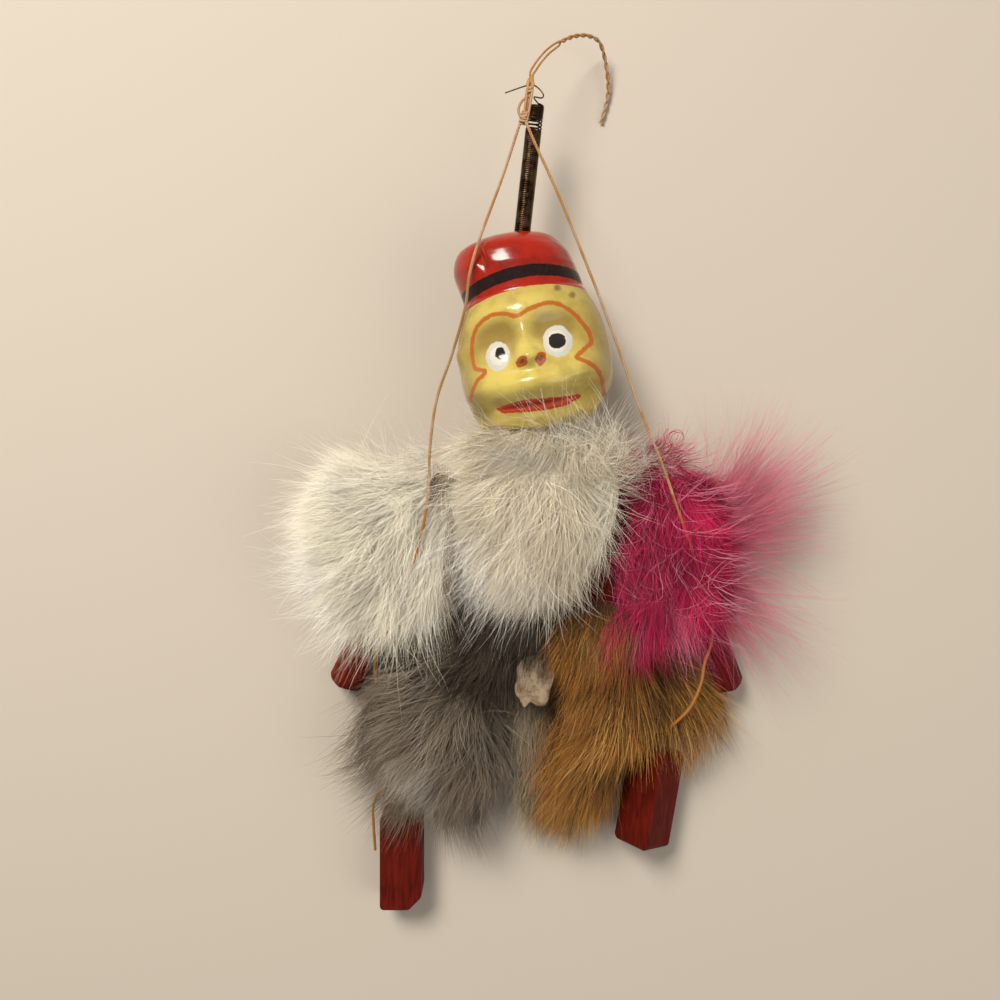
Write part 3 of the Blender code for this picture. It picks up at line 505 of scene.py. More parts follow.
def wood_material(name, stain, dark, bare, turn, wear=0.0):
    """Stained wood with its grain turned by degrees."""
    g, shader = new_material(name, {"Specular IOR Level": 0.08})
    inputs = {"Place": g.place(math.radians(turn)), "Stain": stain, "Dark": dark, "Bare": bare, "Wear": wear}
    grain = g.group("stained_grain", inputs)
    bump = g.bump(grain["Height"], 0.12)
    g.fill(shader, {"Base Color": grain["Colour"], "Roughness": grain["Roughness"], "Normal": bump})


def wire_material(name, dark, light, rust):
    """Old wire: darkened steel with rubbed bright places and a little rust."""
    g, shader = new_material(name, {})
    place = g.place()
    rubbed = g.step(g.noise(place, 0.35, 3.0, 0.5), 0.42, 0.66)
    rusty = g.step(g.noise(place, 0.3, 4.0, 0.6), 0.5, 0.66)
    sockets = {
        "Base Color": g.layers(dark, (rubbed, light), (g.times(rusty, 0.7), rust)),
        "Roughness": g.step(rusty, 0.0, 1.0, 0.28, 0.6),
        "Metallic": g.step(rusty, 0.0, 1.0, 1.0, 0.55),
        "Normal": g.bump(g.noise(place, 6.0), 0.003),
    }
    g.fill(shader, sockets)


def thread_material(name, colour, paler):
    """Twisted thread: fine fibres and faded stretches."""
    g, shader = new_material(name, {"Roughness": 0.75, "Specular IOR Level": 0.25})
    place = g.place()
    faded = g.step(g.noise(place, 0.25), 0.35, 0.7)
    fine = g.noise(place, 9.0, 3.0, 0.7)
    pale = tuple(min(1.0, 0.55 * c + paler) for c in colour)
    dirty = (g.step(fine, 0.35, 0.7, 0.0, 0.4), shade(colour, 0.45))
    tone = g.layers(colour, (g.times(faded, 0.55), pale), dirty)
    g.fill(shader, {"Base Color": tone, "Normal": g.bump(fine, 0.03)})


def hide_material(name):
    """Bare hide, mottled and rough."""
    g, shader = new_material(name, {"Roughness": 0.7, "Specular IOR Level": 0.2})
    place = g.place()
    mottled = g.step(g.noise(place, 0.5, 5.0, 0.65), 0.35, 0.65)
    tone = g.mix(mottled, (0.2, 0.13, 0.075), (0.36, 0.27, 0.18))
    g.fill(shader, {"Base Color": tone, "Normal": g.bump(g.noise(place, 1.6, 5.0, 0.7), 0.4)})


def head_material(name, colours):
    """Celluloid painted by the distances that its mesh carries, under a clear coat."""
    g, shader = new_material(name, {"Specular IOR Level": 0.06, "Coat Roughness": 0.17, "Coat IOR": 1.5})
    place = g.place()
    wobble = g.times(g.minus(g.noise(place, 1.1, 4.0), 0.5), 0.55)
    dirt = g.group("old_dirt", {"Place": place})
    up = g.mark("up")

    def edge(mark, at, soft=0.10):
        return g.step(g.plus(g.mark(mark), wobble), at - soft, at + soft, 1.0, 0.0)

    # Painted shade: olive laid in the face's hollows, the deeper the darker
    hollow_shade = g.step(g.mark("hollow_shade"), -1.9, 0.6, 1.0, 0.0)
    # Painted shade: the face darkens towards its sides, less so at the chin
    sides = g.step(g.work("ABSOLUTE", g.mark("across")), 7.5, 12.8, 0.0, 0.62)
    spots = g.step(g.plus(g.mark("stain"), wobble), 0.25, 0.9, 0.7, 0.0)
    lower = shade(colours.mouth, 1.3, 2.0, 1.4)
    lips = g.mix(g.step(g.mark("mouth_up"), -0.35, 0.2), lower, shade(colours.mouth, 0.5))
    white = edge("eye_white", 0.0, 0.08)
    rim = g.times(white, edge("eye_white", -0.75, 0.2))
    height = g.plus(g.mark("hat_height"), g.times(wobble, 0.6))
    band = g.times(g.step(height, 11.15, 11.3), g.step(height, 13.15, 13.3, 1.0, 0.0))
    tone = g.layers(
        colours.face,
        (g.times(hollow_shade, 0.8), colours.face_shade),
        (g.times(sides, g.step(up, -12.0, -6.0, 0.2, 1.0)), colours.face_shade),
        # Painted shade, darker towards the top of the forehead below the hat
        (g.step(up, 6.0, 9.5, 0.0, 0.3), colours.face_shade),
        # Painted light: the chin, which faces away from the lamps, is made lighter
        (g.step(up, -12.4, -8.4, 1.0, 0.0), shade(colours.face, 1.8)),
        (g.times(dirt["Clouds"], 0.38), colours.face_shade),
        (spots, (0.06, 0.03, 0.01)),
        (g.times(dirt["Specks"], 0.5), (0.10, 0.06, 0.02)),
        (g.times(edge("brow_line", 0.36, 0.12), 0.9), colours.face_line),
        (edge("nostril", 0.0), shade(colours.face_line, 0.9)),
        (edge("nostril", -0.5, 0.12), shade(colours.face_line, 0.3)),
        (edge("mouth", 0.2), colours.mouth),
        (edge("mouth", -0.12, 0.14), lips),
        (white, g.mix(rim, (0.44, 0.43, 0.38), colours.eye)),
        (edge("pupil", 0.0, 0.08), colours.pupil),
        (g.step(height, 9.6, 9.75), g.mix(dirt["Clouds"], colours.hat, shade(colours.hat, 0.6))),
        (band, colours.band),
    )
    dull = g.plus(g.times(dirt["Clouds"], 0.08), 0.13)
    brush = g.times(g.noise(place, 3.2, 4.0, 0.65), g.plus(g.times(band, 1.4), 0.3))
    sockets = {
        "Base Color": tone,
        "Coat Weight": g.minus(0.72, g.times(band, 0.5)),
        "Roughness": g.plus(dull, g.times(dirt["Specks"], 0.3)),
        "Normal": g.bump(g.plus(g.times(g.noise(place, 0.9), 0.6), brush), 0.16),
    }
    g.fill(shader, sockets)


class TOY_OT_finishes(bpy.types.Operator):
    """Makes the shared node groups and every finish of the toy"""

    bl_idname = "toy.finishes"
    bl_label = "Shared finishes"

    def execute(self, context):
        colours = context.scene.toy_colours
        make_fibre_group()
        make_grain_group()
        make_dirt_group()
        make_strand_group()
        head_material("painted_celluloid", colours)
        thread_material("string", colours.string, 0.28)
        thread_material("dyed_string", colours.dyed_string, 0.06)
        wire_material("spring_wire", (0.03, 0.016, 0.008), (0.13, 0.082, 0.036), (0.09, 0.028, 0.018))
        wire_material("staple_wire", (0.06, 0.055, 0.05), (0.25, 0.23, 0.2), (0.2, 0.09, 0.04))
        hide_material("bare_hide")
        stain = tuple(colours.wood)
        dark = shade(stain, 0.45)
        bare = (0.24, 0.10, 0.045)
        wood_material("red_wood", stain, dark, bare, 90, 0.05)
        wood_material("white_arm_wood", shade(stain, 1.5), dark, (0.36, 0.17, 0.1), 116, 0.34)
        wood_material("pink_arm_wood", (0.13, 0.008, 0.012), dark, bare, 69, 0.1)
        wood_material("foot_wood", stain, dark, bare, 90)
        wood_material("bare_wood", (0.55, 0.38, 0.2), (0.3, 0.18, 0.08), bare, 90)
        white, pink, grey, tan = (
            tuple(c) for c in (colours.white_fur, colours.pink_fur, colours.grey_fur, colours.tan_fur)
        )
        for row in (
            ("white_coat", shade(white, 0.72), shade(white, 0.98), -0.5),
            ("pink_coat", shade(pink, 0.25), shade(pink, 0.5), 0.5),
            ("grey_coat", shade(grey, 0.25), shade(grey, 0.7), -0.4),
            ("dark_coat", shade(grey, 0.1), shade(grey, 0.25), 0.0),
            ("tan_coat", shade(tan, 0.15), shade(tan, 0.5), -0.3),
            ("belly_coat", shade(grey, 0.08), shade(grey, 0.2), 0.0),
            ("pale_coat", (0.1, 0.075, 0.05), (0.26, 0.2, 0.14), 0.0),
            ("pelt_coat", (0.16, 0.12, 0.08), (0.4, 0.32, 0.22), 0.0),
        ):
            coat_material(*row)
        bib = shade(white, 0.82, 0.77, 0.71)
        pale = (0.72, 0.2, 0.28)
        faded = tuple(0.6 * a + 0.4 * b for a, b in zip(pink, pale))
        for row in (
            ("white_hair", shade(white, 0.86), white, (0.95, 0.92, 0.84), 0.2, 0.6),
            ("white_guard", shade(white, 0.95), white, (0.96, 0.94, 0.9), 0.3, 0.6, 0.1),
            ("bib_hair", shade(bib, 0.82), bib, (0.72, 0.68, 0.6), 0.2, 0.6),
            ("pink_hair", shade(pink, 0.55), pink, (0.72, 0.2, 0.32), 0.16, 0.7, 0.6),
            ("pink_guard", (0.6, 0.1, 0.2), (0.85, 0.3, 0.42), (0.9, 0.5, 0.6), 0.3, 0.7, 0.25),
            ("pink_wisps", faded, pale, (0.8, 0.45, 0.5), 0.3, 0.8),
            ("grey_hair", shade(grey, 0.3), grey, (0.46, 0.41, 0.34), 0.25, 0.85, 0.4),
            ("grey_guard", (0.3, 0.25, 0.19), (0.54, 0.48, 0.39), (0.12, 0.09, 0.06), 0.25, 0.6, 0.3),
            ("grey_wisps", shade(grey, 0.6), (0.19, 0.145, 0.1), (0.1, 0.075, 0.05), 0.3, 0.6),
            ("dark_hair", (0.022, 0.014, 0.008), (0.055, 0.038, 0.023), (0.19, 0.15, 0.11), 0.12, 0.8, 0.4),
            ("tan_hair", shade(tan, 0.14), tan, (0.58, 0.32, 0.09), 0.18, 0.95, 0.5),
            ("tan_guard", shade(tan, 0.7), (0.66, 0.38, 0.11), (0.75, 0.5, 0.2), 0.25, 0.7, 0.35),
            ("pale_hair", (0.15, 0.11, 0.07), (0.36, 0.28, 0.19), (0.5, 0.44, 0.36), 0.2, 0.6),
        ):
            fur_material(*row)
        return {"FINISHED"}


# Mesh helpers


def mesh_from(bm, name, scale=MM):
    """A mesh in metres, from a form drawn in millimetres unless another scale is given."""
    bmesh.ops.scale(bm, vec=(scale, scale, scale), verts=bm.verts)
    mesh = bpy.data.meshes.new(name)
    bm.to_mesh(mesh)
    bm.free()
    return mesh


def add_object(name, data):
    made = bpy.data.objects.new(name, data)
    bpy.context.scene.collection.objects.link(made)
    return made


def add_piece(name, mesh, finish, body=None, nodes=()):
    """A visible piece: its finish by name, the body that it rides on and the solids that it stands for."""
    made = add_object(name, mesh)
    mesh.materials.clear()
    mesh.materials.append(FINISHES[finish])
    mesh.shade_smooth()
    if body:
        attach(made, body)
    if nodes:
        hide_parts(*nodes)
    return made


def thicken(made, thickness):
    """A wall that grows inwards from the outer skin."""
    wall = made.modifiers.new("wall", "SOLIDIFY")
    wall.thickness = thickness
    wall.offset = -1.0


def baked(source, name):
    """A plain mesh of an object as its modifiers leave it. The object is removed."""
    bpy.context.view_layer.update()
    graph = bpy.context.evaluated_depsgraph_get()
    mesh = bpy.data.meshes.new_from_object(source.evaluated_get(graph), depsgraph=graph)
    mesh.name = name
    data = source.data
    bpy.data.objects.remove(source)
    if isinstance(data, bpy.types.Curve):
        bpy.data.curves.remove(data)
    return mesh


def points_of(mesh):
    """A mesh's points in millimetres."""
    co = np.empty(len(mesh.vertices) * 3, np.float32)
    mesh.vertices.foreach_get("co", co)
    return co.reshape(-1, 3).astype(float) / MM


def store(mesh, name, values):
    made = mesh.attributes.new(name, "FLOAT", "POINT")
    made.data.foreach_set("value", np.ascontiguousarray(values, dtype=np.float32))


def smooth_route(points, count):
    """Evenly spaced points on a smooth curve through a route's points, in millimetres."""
    spots = [Vector(p) for p in points]
    spots = [2 * spots[0] - spots[1], *spots, 2 * spots[-1] - spots[-2]]
    fine = []
    for a, b, c, d in zip(spots, spots[1:], spots[2:], spots[3:]):
        for k in range(12):
            t = k / 12
            bend = (2 * a - 5 * b + 4 * c - d) * t**2 + (3 * b - a - 3 * c + d) * t**3
            fine.append(0.5 * (2 * b + (c - a) * t + bend))
    fine.append(spots[-2])
    return spaced(np.array([tuple(p) for p in fine]), count)


def smooth_line(points, count):
    return smooth_route([(x, y, 0.0) for x, y in points], count)[:, :2].tolist()


def spaced(line, count):
    along = np.concatenate([[0], np.cumsum(np.linalg.norm(np.diff(line, axis=0), axis=1))])
    at = np.linspace(0, along[-1], count)
    return np.stack([np.interp(at, along, line[:, k]) for k in range(3)], axis=1)


def path_length(line):
    return float(np.linalg.norm(np.diff(line, axis=0), axis=1).sum())


def across_path(line):
    """Two directions square to each point of a path, carried along it without a twist."""
    ways = np.gradient(line, axis=0)
    ways /= np.linalg.norm(ways, axis=1)[:, None]
    side = np.cross(ways[0], (0.0, 0.0, 1.0))
    side /= np.linalg.norm(side)
    sides = []
    for way in ways:
        side = side - way * side.dot(way)
        side /= np.linalg.norm(side)
        sides.append(side)
    sides = np.array(sides)
    return sides, np.cross(ways, sides)


def wires(name, lines, diameter):
    """A mesh of round wires along lines in millimetres."""
    curve = bpy.data.curves.new(name, "CURVE")
    curve.dimensions = "3D"
    curve.bevel_depth = diameter / 2 * MM
    curve.bevel_resolution = 1
    curve.use_fill_caps = True
    for line in lines:
        spline = curve.splines.new("POLY")
        spline.points.add(len(line) - 1)
        flat = np.concatenate([np.asarray(line) * MM, np.ones((len(line), 1))], axis=1)
        spline.points.foreach_set("co", flat.ravel())
    return baked(add_object(name, curve), name)


def twisted(name, line, diameter, per_turn=8, phase=0.0):
    """A mesh of a twisted string: plies laid round each other along a path in millimetres."""
    turns = path_length(line) / (TWIST_PITCH * diameter)
    fine = spaced(line, max(12, int(turns * per_turn)))
    sides, ups = across_path(fine)
    ply = diameter / 2 / (1 + 1 / math.sin(math.pi / PLIES))
    reach = diameter / 2 - ply
    angle = np.linspace(0, 2 * math.pi * turns, len(fine)) + phase
    lines = []
    for k in range(PLIES):
        t = (angle + 2 * math.pi * k / PLIES)[:, None]
        lines.append(fine + reach * (np.cos(t) * sides + np.sin(t) * ups))
    return wires(name, lines, 2 * ply * 1.04)


# Head


def smoothstep(t):
    t = np.clip(t, 0.0, 1.0)
    return t * t * (3 - 2 * t)


def swell(distance, width):
    return np.exp(-((distance / width) ** 2))


def swellings(x, b, table):
    """The sum of a table's smooth swellings at x across and b up."""
    total = 0.0
    for height, across, up, wide, tall, mirror in table:
        u = (x if mirror is None else np.abs(x - mirror)) - across
        total = total + height * swell(u, wide) * swell(b - up, tall)
    return total


def face_relief(x, b):
    """How far the face stands proud at x across and b up from the head's centre."""
    groove = swell(b + 9.2 - 0.012 * x * x, 0.7)
    ends = np.where(np.abs(x) < 6.2, 1.0, swell(np.abs(x) - 6.2, 0.9))
    return swellings(x, b, FACE_FORMS) - 0.9 * groove * ends


def head_profile(count):
    """Half widths and heights from the neck to the crown, evenly spaced along the outline."""
    shape = list(HEAD_SIDES)
    shape += [(HAT_RADIUS + 0.04 * k, HAT_BASE + (HAT_SHOULDER - HAT_BASE) * k / 4) for k in range(5)]
    for degrees in HAT_TURNS:
        turn = math.radians(degrees)
        rise = (HAT_TOP - HAT_SHOULDER) * math.sin(turn) ** 0.9
        shape.append((HAT_RADIUS * math.cos(turn) ** 0.72, HAT_SHOULDER + rise))
    shape.append((CROWN_RADIUS, HAT_TOP))
    line = spaced(np.array([(r, b, 0.0) for r, b in shape]), count)
    for _ in range(2):
        line[1:-1] = 0.25 * line[:-2] + 0.5 * line[1:-1] + 0.25 * line[2:]
    return line[:, :2]


def head_place(r, b, turn, proud):
    """Points of the head in millimetres: half width r, height b, turn round from the front."""
    drop = smoothstep((-7.0 - b) / 7.0)
    high = smoothstep((b - HAT_BASE) / 6.0)
    centre = np.array(HEAD_CENTRE)
    crown = (np.array(CROWN_HOLE) - centre).dot(HEAD_RIGHT) + HAT_LEAN
    reach = r + proud
    shift = crown * np.maximum(0.0, 1 - (r - CROWN_RADIUS) / 7.0) - HAT_LEAN
    a = reach * np.sin(turn) + NECK_OFFSET[0] * drop + shift * high
    place = centre + a[:, None] * HEAD_RIGHT + (b - 0.09 * a * high)[:, None] * HEAD_UP
    place[:, 2] += HEAD_DEPTH_SHARE * reach * np.cos(turn) + NECK_OFFSET[1] * drop
    return place


def head_relief(r, b, turn):
    """How far the face stands proud, and the dent in the hat."""
    front = np.cos(turn - FACE_YAW)
    x = r * np.sin(turn - FACE_YAW)
    dent = -1.1 * swell(x + 4.6 + 0.25 * (b - 16), 0.75) * swell(b - 16.3, 2.4)
    proud = np.where(b < HAT_BASE - 1.0, face_relief(x, b), dent)
    fade = np.minimum(1.0, 2.2 * front) * np.clip((b - HEAD_CHIN - 0.8) / 2.0, 0.0, 1.0)
    return np.where(front > 0, proud * fade, 0.0)


def line_distance(points, line):
    """Distance from each point to a line of points, in the plane."""
    best = np.full(len(points), 99.0)
    for a, b in zip(line, line[1:]):
        a = np.array(a)
        d = np.array(b) - a
        t = np.clip(((points - a) @ d) / d.dot(d), 0, 1)
        best = np.minimum(best, np.linalg.norm(points - a - t[:, None] * d, axis=1))
    return best


def inside_distance(points, outline):
    """Distance to a closed outline, below zero inside it."""
    ring = [*outline, outline[0]]
    inside = np.zeros(len(points), bool)
    for (ax, ay), (bx, by) in zip(ring, ring[1:]):
        if ay != by:
            crossing = (points[:, 1] > ay) != (points[:, 1] > by)
            inside ^= crossing & (points[:, 0] < ax + (points[:, 1] - ay) * (bx - ax) / (by - ay))
    return np.where(inside, -1.0, 1.0) * line_distance(points, ring)


def oval_distance(x, b, ovals):
    """Roughly the distance to the nearest of two ovals' edges, below zero inside them."""
    far = []
    for cx, cb, half_x, half_b, tilt in ovals:
        u = (x - cx) * math.cos(tilt) + (b - cb) * math.sin(tilt)
        v = (b - cb) * math.cos(tilt) - (x - cx) * math.sin(tilt)
        far.append((np.hypot(u / half_x, v / half_b) - 1.0) * min(half_x, half_b))
    return np.minimum(*far)


def face_marks(mesh):
    """Stores how far each point of the head lies from every painted mark, in millimetres."""
    off = points_of(mesh) - np.array(HEAD_CENTRE)
    ahead = np.array((0.0, 0.0, 1.0))
    x = off @ (math.cos(FACE_YAW) * HEAD_RIGHT - math.sin(FACE_YAW) * ahead)
    b = off @ HEAD_UP
    depth = off @ (math.sin(FACE_YAW) * HEAD_RIGHT + math.cos(FACE_YAW) * ahead)
    turn = np.arctan2(off @ HEAD_RIGHT, off @ ahead)
    flat = np.stack([x, b], axis=1)
    behind = np.where(depth > 0, 0.0, 9.0)
    # Painted shade: the relief less the shade swellings, stored so that the material darkens the hollows
    shaded = face_relief(x, b) - swellings(x, b, FACE_SHADE)
    marks = {
        "brow_line": line_distance(flat, smooth_line(BROW_LINE, 120)) + behind,
        "eye_white": oval_distance(x, b, EYES) + behind,
        "pupil": oval_distance(x, b, PUPILS) + behind,
        "mouth": inside_distance(flat, smooth_line([*MOUTH, MOUTH[0]], 60)[:-1]) + behind,
        "nostril": oval_distance(x, b, NOSTRILS) + behind,
        "hat_height": b + 1.4 * np.sin(turn) ** 2,
        "hollow_shade": np.where(b < HAT_BASE, shaded, 0.0),
        "stain": np.minimum(*(np.hypot(x - u, b - v) for u, v in STAINS)) + behind,
        "mouth_up": b + 9.85 - 0.012 * x * x,
        "across": x,
        "up": b,
    }
    for name, values in marks.items():
        store(mesh, name, values)


class TOY_OT_head(bpy.types.Operator):
    """Moulds the head's two celluloid shells and paints the face and the hat"""

    bl_idname = "toy.head"
    bl_label = "Head"

    def execute(self, context):
        profile = head_profile(PROFILE_STEPS + 1)
        rows_at = np.arange(PROFILE_STEPS + 1)
        middle = Vector(HEAD_CENTRE)
        for name, first, last, steps, rows, seam in (
            ("head_front", -90, 90, 170, 190, SEAM_GAP / 2),
            ("head_back", 90, 270, 72, 96, -SEAM_GAP / 2),
        ):
            bm = bmesh.new()
            bmesh.ops.create_grid(bm, x_segments=steps, y_segments=rows, size=1.0)
            grid = np.array([v.co[:] for v in bm.verts])
            share = (grid[:, 1] + 1) / 2 * PROFILE_STEPS
            r, b = (np.interp(share, rows_at, profile[:, k]) for k in range(2))
            turn = np.radians(first + (last - first) * (grid[:, 0] + 1) / 2)
            place = head_place(r, b, turn, head_relief(r, b, turn))
            place[:, 2] += seam
            for vert, spot in zip(bm.verts, place):
                vert.co = spot
            bmesh.ops.recalc_face_normals(bm, faces=bm.faces)
            bm.normal_update()
            probe = max(bm.faces, key=lambda f: abs(f.calc_center_median().z - middle.z))
            if probe.normal.dot(probe.calc_center_median() - middle) < 0:
                bmesh.ops.reverse_faces(bm, faces=bm.faces)
            mesh = mesh_from(bm, name)
            face_marks(mesh)
            made = add_piece(f"{name}_shell", mesh, "painted_celluloid", "torso", [name])
            thicken(made, context.scene.toy_sizes.head_wall)
        return {"FINISHED"}


# Spring, hook and strings


class TOY_OT_spring(bpy.types.Operator):
    """Winds the spring close, opens its last turns and bends the hook at its end"""

    bl_idname = "toy.spring"
    bl_label = "Spring and hook"

    def execute(self, context):
        wire = context.scene.toy_sizes.spring_wire / MM
        side = np.array(SPRING_WAY.cross(Vector((0, 0, 1))).normalized())
        way = np.array(SPRING_WAY)
        up = np.cross(side, way)
        length = (SPRING_END - SPRING_SEAT).length
        points = []
        along = 0.0
        angle = 0.0
        step = 2 * math.pi / SPRING_TURN_STEPS
        first, last = SPRING_PARTED
        while along < length:
            out = SPRING_RADIUS * (math.cos(angle) * side + math.sin(angle) * up)
            points.append(np.array(SPRING_SEAT) + along * way + out)
            left = length - along
            parting = smoothstep((first - left) / 0.8) * smoothstep((left - last) / 0.6)
            along += (1.03 * wire + 0.34 * float(parting)) * step / (2 * math.pi)
            angle += step
        mesh = wires("spring_coils", [points], wire)
        made = add_piece("spring_coils", mesh, "spring_wire", nodes=["spring"])
        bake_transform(made)
        mesh = wires("hook_wire", [smooth_route([tuple(points[-1]), *HOOK_ROUTE], 60)], wire * 0.8)
        add_piece("hook_wire", mesh, "spring_wire", "hanger", ["spring_hook"])
        return {"FINISHED"}


class TOY_OT_knot(bpy.types.Operator):
    """Ties the knot of wound string that holds the pull strings to the hook"""

    bl_idname = "toy.knot"
    bl_label = "Knot"

    def execute(self, context):
        diameter = context.scene.toy_sizes.string_diameter / MM
        lines = [smooth_route(route, 24) for route in KNOT_STRANDS]
        bundle = smooth_route(KNOT_STRANDS[0], 60)
        sides, ups = across_path(bundle)
        for first, last, turns, reach in ((44, 57, 4.5, 0.5), (14, 22, 2.5, 0.42)):
            share = np.linspace(0, 1, int(turns * 14))
            place = first + (last - first) * share
            at = np.round(place).astype(int)
            t = 2 * math.pi * turns * share
            out = (reach * (1 + 0.12 * np.sin(3.1 * t)))[:, None]
            core = np.stack([np.interp(place, np.arange(60), bundle[:, k]) for k in range(3)], axis=1)
            lines.append(core + out * (np.cos(t)[:, None] * sides[at] + np.sin(t)[:, None] * ups[at]))
        mesh = wires("knot_wraps", lines, diameter * 0.82)
        add_piece("knot_wraps", mesh, "string", "hanger", ["string_knot"])
        return {"FINISHED"}


def add_string(name, line, diameter, finish, nodes, phase):
    """A length of pull string that runs between two bodies."""
    made = add_piece(name, twisted(name, line, diameter, phase=phase), finish, nodes=nodes)
    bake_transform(made)


class TOY_OT_strings(bpy.types.Operator):
    """Runs the two pull strings from the knot through the arms to the feet"""

    bl_idname = "toy.strings"
    bl_label = "Strings"

    def execute(self, context):
        diameter = context.scene.toy_sizes.string_diameter / MM
        finishes = ("string", "string", "dyed_string", "dyed_string")
        for side, route, leg, shares in (
            ("white", WHITE_STRING, "grey", (0.0, 0.27, 0.51, 0.76, 1.0)),
            ("pink", PINK_STRING, "tan", (0.0, 0.31, 0.59, 1.0)),
        ):
            whole = smooth_route(route, STRING_STEPS + 1)
            arm = f"{side}_arm"
            parts = (
                ("hanger", "torso", [f"{side}_upper_string"]),
                ("torso", arm, ()),
                (arm, "torso", [f"{side}_lower_string"]),
                ("torso", f"{leg}_leg", ()),
            )
            for k, (start, end, (near, far, nodes)) in enumerate(zip(shares, shares[1:], parts)):
                line = whole[int(STRING_STEPS * start) : int(STRING_STEPS * end) + 1]
                add_string(f"{side}_string_{k + 1}", line, diameter, finishes[k], nodes, 2.1 * k)
        return {"FINISHED"}


class TOY_OT_tail(bpy.types.Operator):
    """Lays the loose end: two strands, apart above the knot and twisted together further on"""

    bl_idname = "toy.tail"
    bl_label = "Loose end"

    def execute(self, context):
        diameter = context.scene.toy_sizes.tail_diameter / MM
        line = smooth_route(TAIL_ROUTE, 260)
        sides, ups = across_path(line)
        share = np.linspace(0, 1, 260)
        total = path_length(line)
        strand = diameter * 0.5
        t = 2 * math.pi * (total / 3.4) * np.maximum(0.0, share - 0.28) + 0.4
        reach = strand * (0.5 + 0.35 * smoothstep((0.34 - share) / 0.1) * smoothstep(share / 0.06))
        bm = bmesh.new()
        for sign in (1, -1):
            off = (reach * np.cos(t))[:, None] * sides + (reach * np.sin(t))[:, None] * ups
            mesh = twisted("tail_strand", line + sign * off, strand, per_turn=7)
            bm.from_mesh(mesh)
            bpy.data.meshes.remove(mesh)
        whole = mesh_from(bm, "loose_end", 1.0)
        made = add_piece("loose_end", whole, "string", "hanger", ["string_tail"])
        return {"FINISHED"}


# Wood and wire


def paint(made, finish):
    if not made.data.materials:
        made.data.materials.append(finish)
    for slot in made.material_slots:
        slot.material = finish


class TOY_OT_wood(bpy.types.Operator):
    """Stains the body, the dowel, the arm and leg bars and the feet, and darkens their wire staples"""

    bl_idname = "toy.wood"
    bl_label = "Wood and staples"

    def execute(self, context):
        finishes = {
            "body_block": "red_wood",
            "neck_dowel": "bare_wood",
            "white_arm_bar": "white_arm_wood",
            "pink_arm_bar": "pink_arm_wood",
            "grey_leg_bar": "red_wood",
            "tan_leg_bar": "red_wood",
            "grey_foot": "foot_wood",
            "tan_foot": "foot_wood",
            "spring_post": "staple_wire",
        }
        for name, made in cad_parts.items():
            finish = "staple_wire" if name.endswith("_staple") else finishes.get(name)
            if finish:
                paint(made, FINISHES[finish])
        return {"FINISHED"}


# Fur


def unit(v):
    return v / np.maximum(1e-9, np.linalg.norm(v, axis=1))[:, None]


def round_pivot(points, pivot):
    """Each point's angle round a pivot, in degrees from -Y towards +X, and its distance in the plane."""
    off = points[:, :2] - np.array(pivot[:2])
    return np.degrees(np.arctan2(off[:, 0], -off[:, 1])), np.hypot(off[:, 0], off[:, 1])


def roots_on(name, count, rng):
    """Seeded places on a coat's outer skin, in millimetres, with their normals."""
    mesh = bpy.data.objects[f"{name}_coat"].data
    mesh.calc_loop_triangles()
    co = points_of(mesh)
    tri = np.empty(len(mesh.loop_triangles) * 3, np.int32)
    mesh.loop_triangles.foreach_get("vertices", tri)
    a, b, c = (co[tri.reshape(-1, 3)[:, k]] for k in range(3))
    normal = np.cross(b - a, c - a)
    area = np.linalg.norm(normal, axis=1)
    normal = normal / np.maximum(area, 1e-12)[:, None]
    away = (((a + b + c) / 3 - co.mean(0)) * normal).sum(1)
    area = np.where((normal[:, 2] > -0.2) & (away > 0), area, 0.0)
    pick = rng.choice(len(area), size=count, p=area / area.sum())
    u = rng.random((count, 1))
    v = rng.random((count, 1))
    flip = (u + v) > 1
    u = np.where(flip, 1 - u, u)
    v = np.where(flip, 1 - v, v)
    return a[pick] + u * (b - a)[pick] + v * (c - a)[pick], normal[pick]


def patch(x, y, half_x, half_y, z, turn, count, rng):
    """Seeded roots in an oval patch of skin that faces forward."""
    reach = np.sqrt(rng.random(count))
    angle = rng.random(count) * 2 * math.pi
    u = half_x * reach * np.cos(angle)
    v = half_y * reach * np.sin(angle)
    across = u * math.cos(turn) - v * math.sin(turn)
    along = u * math.sin(turn) + v * math.cos(turn)
    places = np.stack([x + across, y + along, z - 0.3 * reach], axis=1)
    return places, np.tile(np.array((0.0, 0.0, 1.0)), (count, 1))


def swirl(points, scale, seed):
    """A smooth wandering direction for each place, the same for neighbours."""
    rng = np.random.default_rng(seed)
    total = np.zeros_like(points)
    for k in range(4):
        wave = rng.normal(size=(3, 3)) / scale * (1.0 + 0.7 * k)
        total += np.sin(points @ wave + rng.random(3) * 6.28) / (1 + k)
    return total


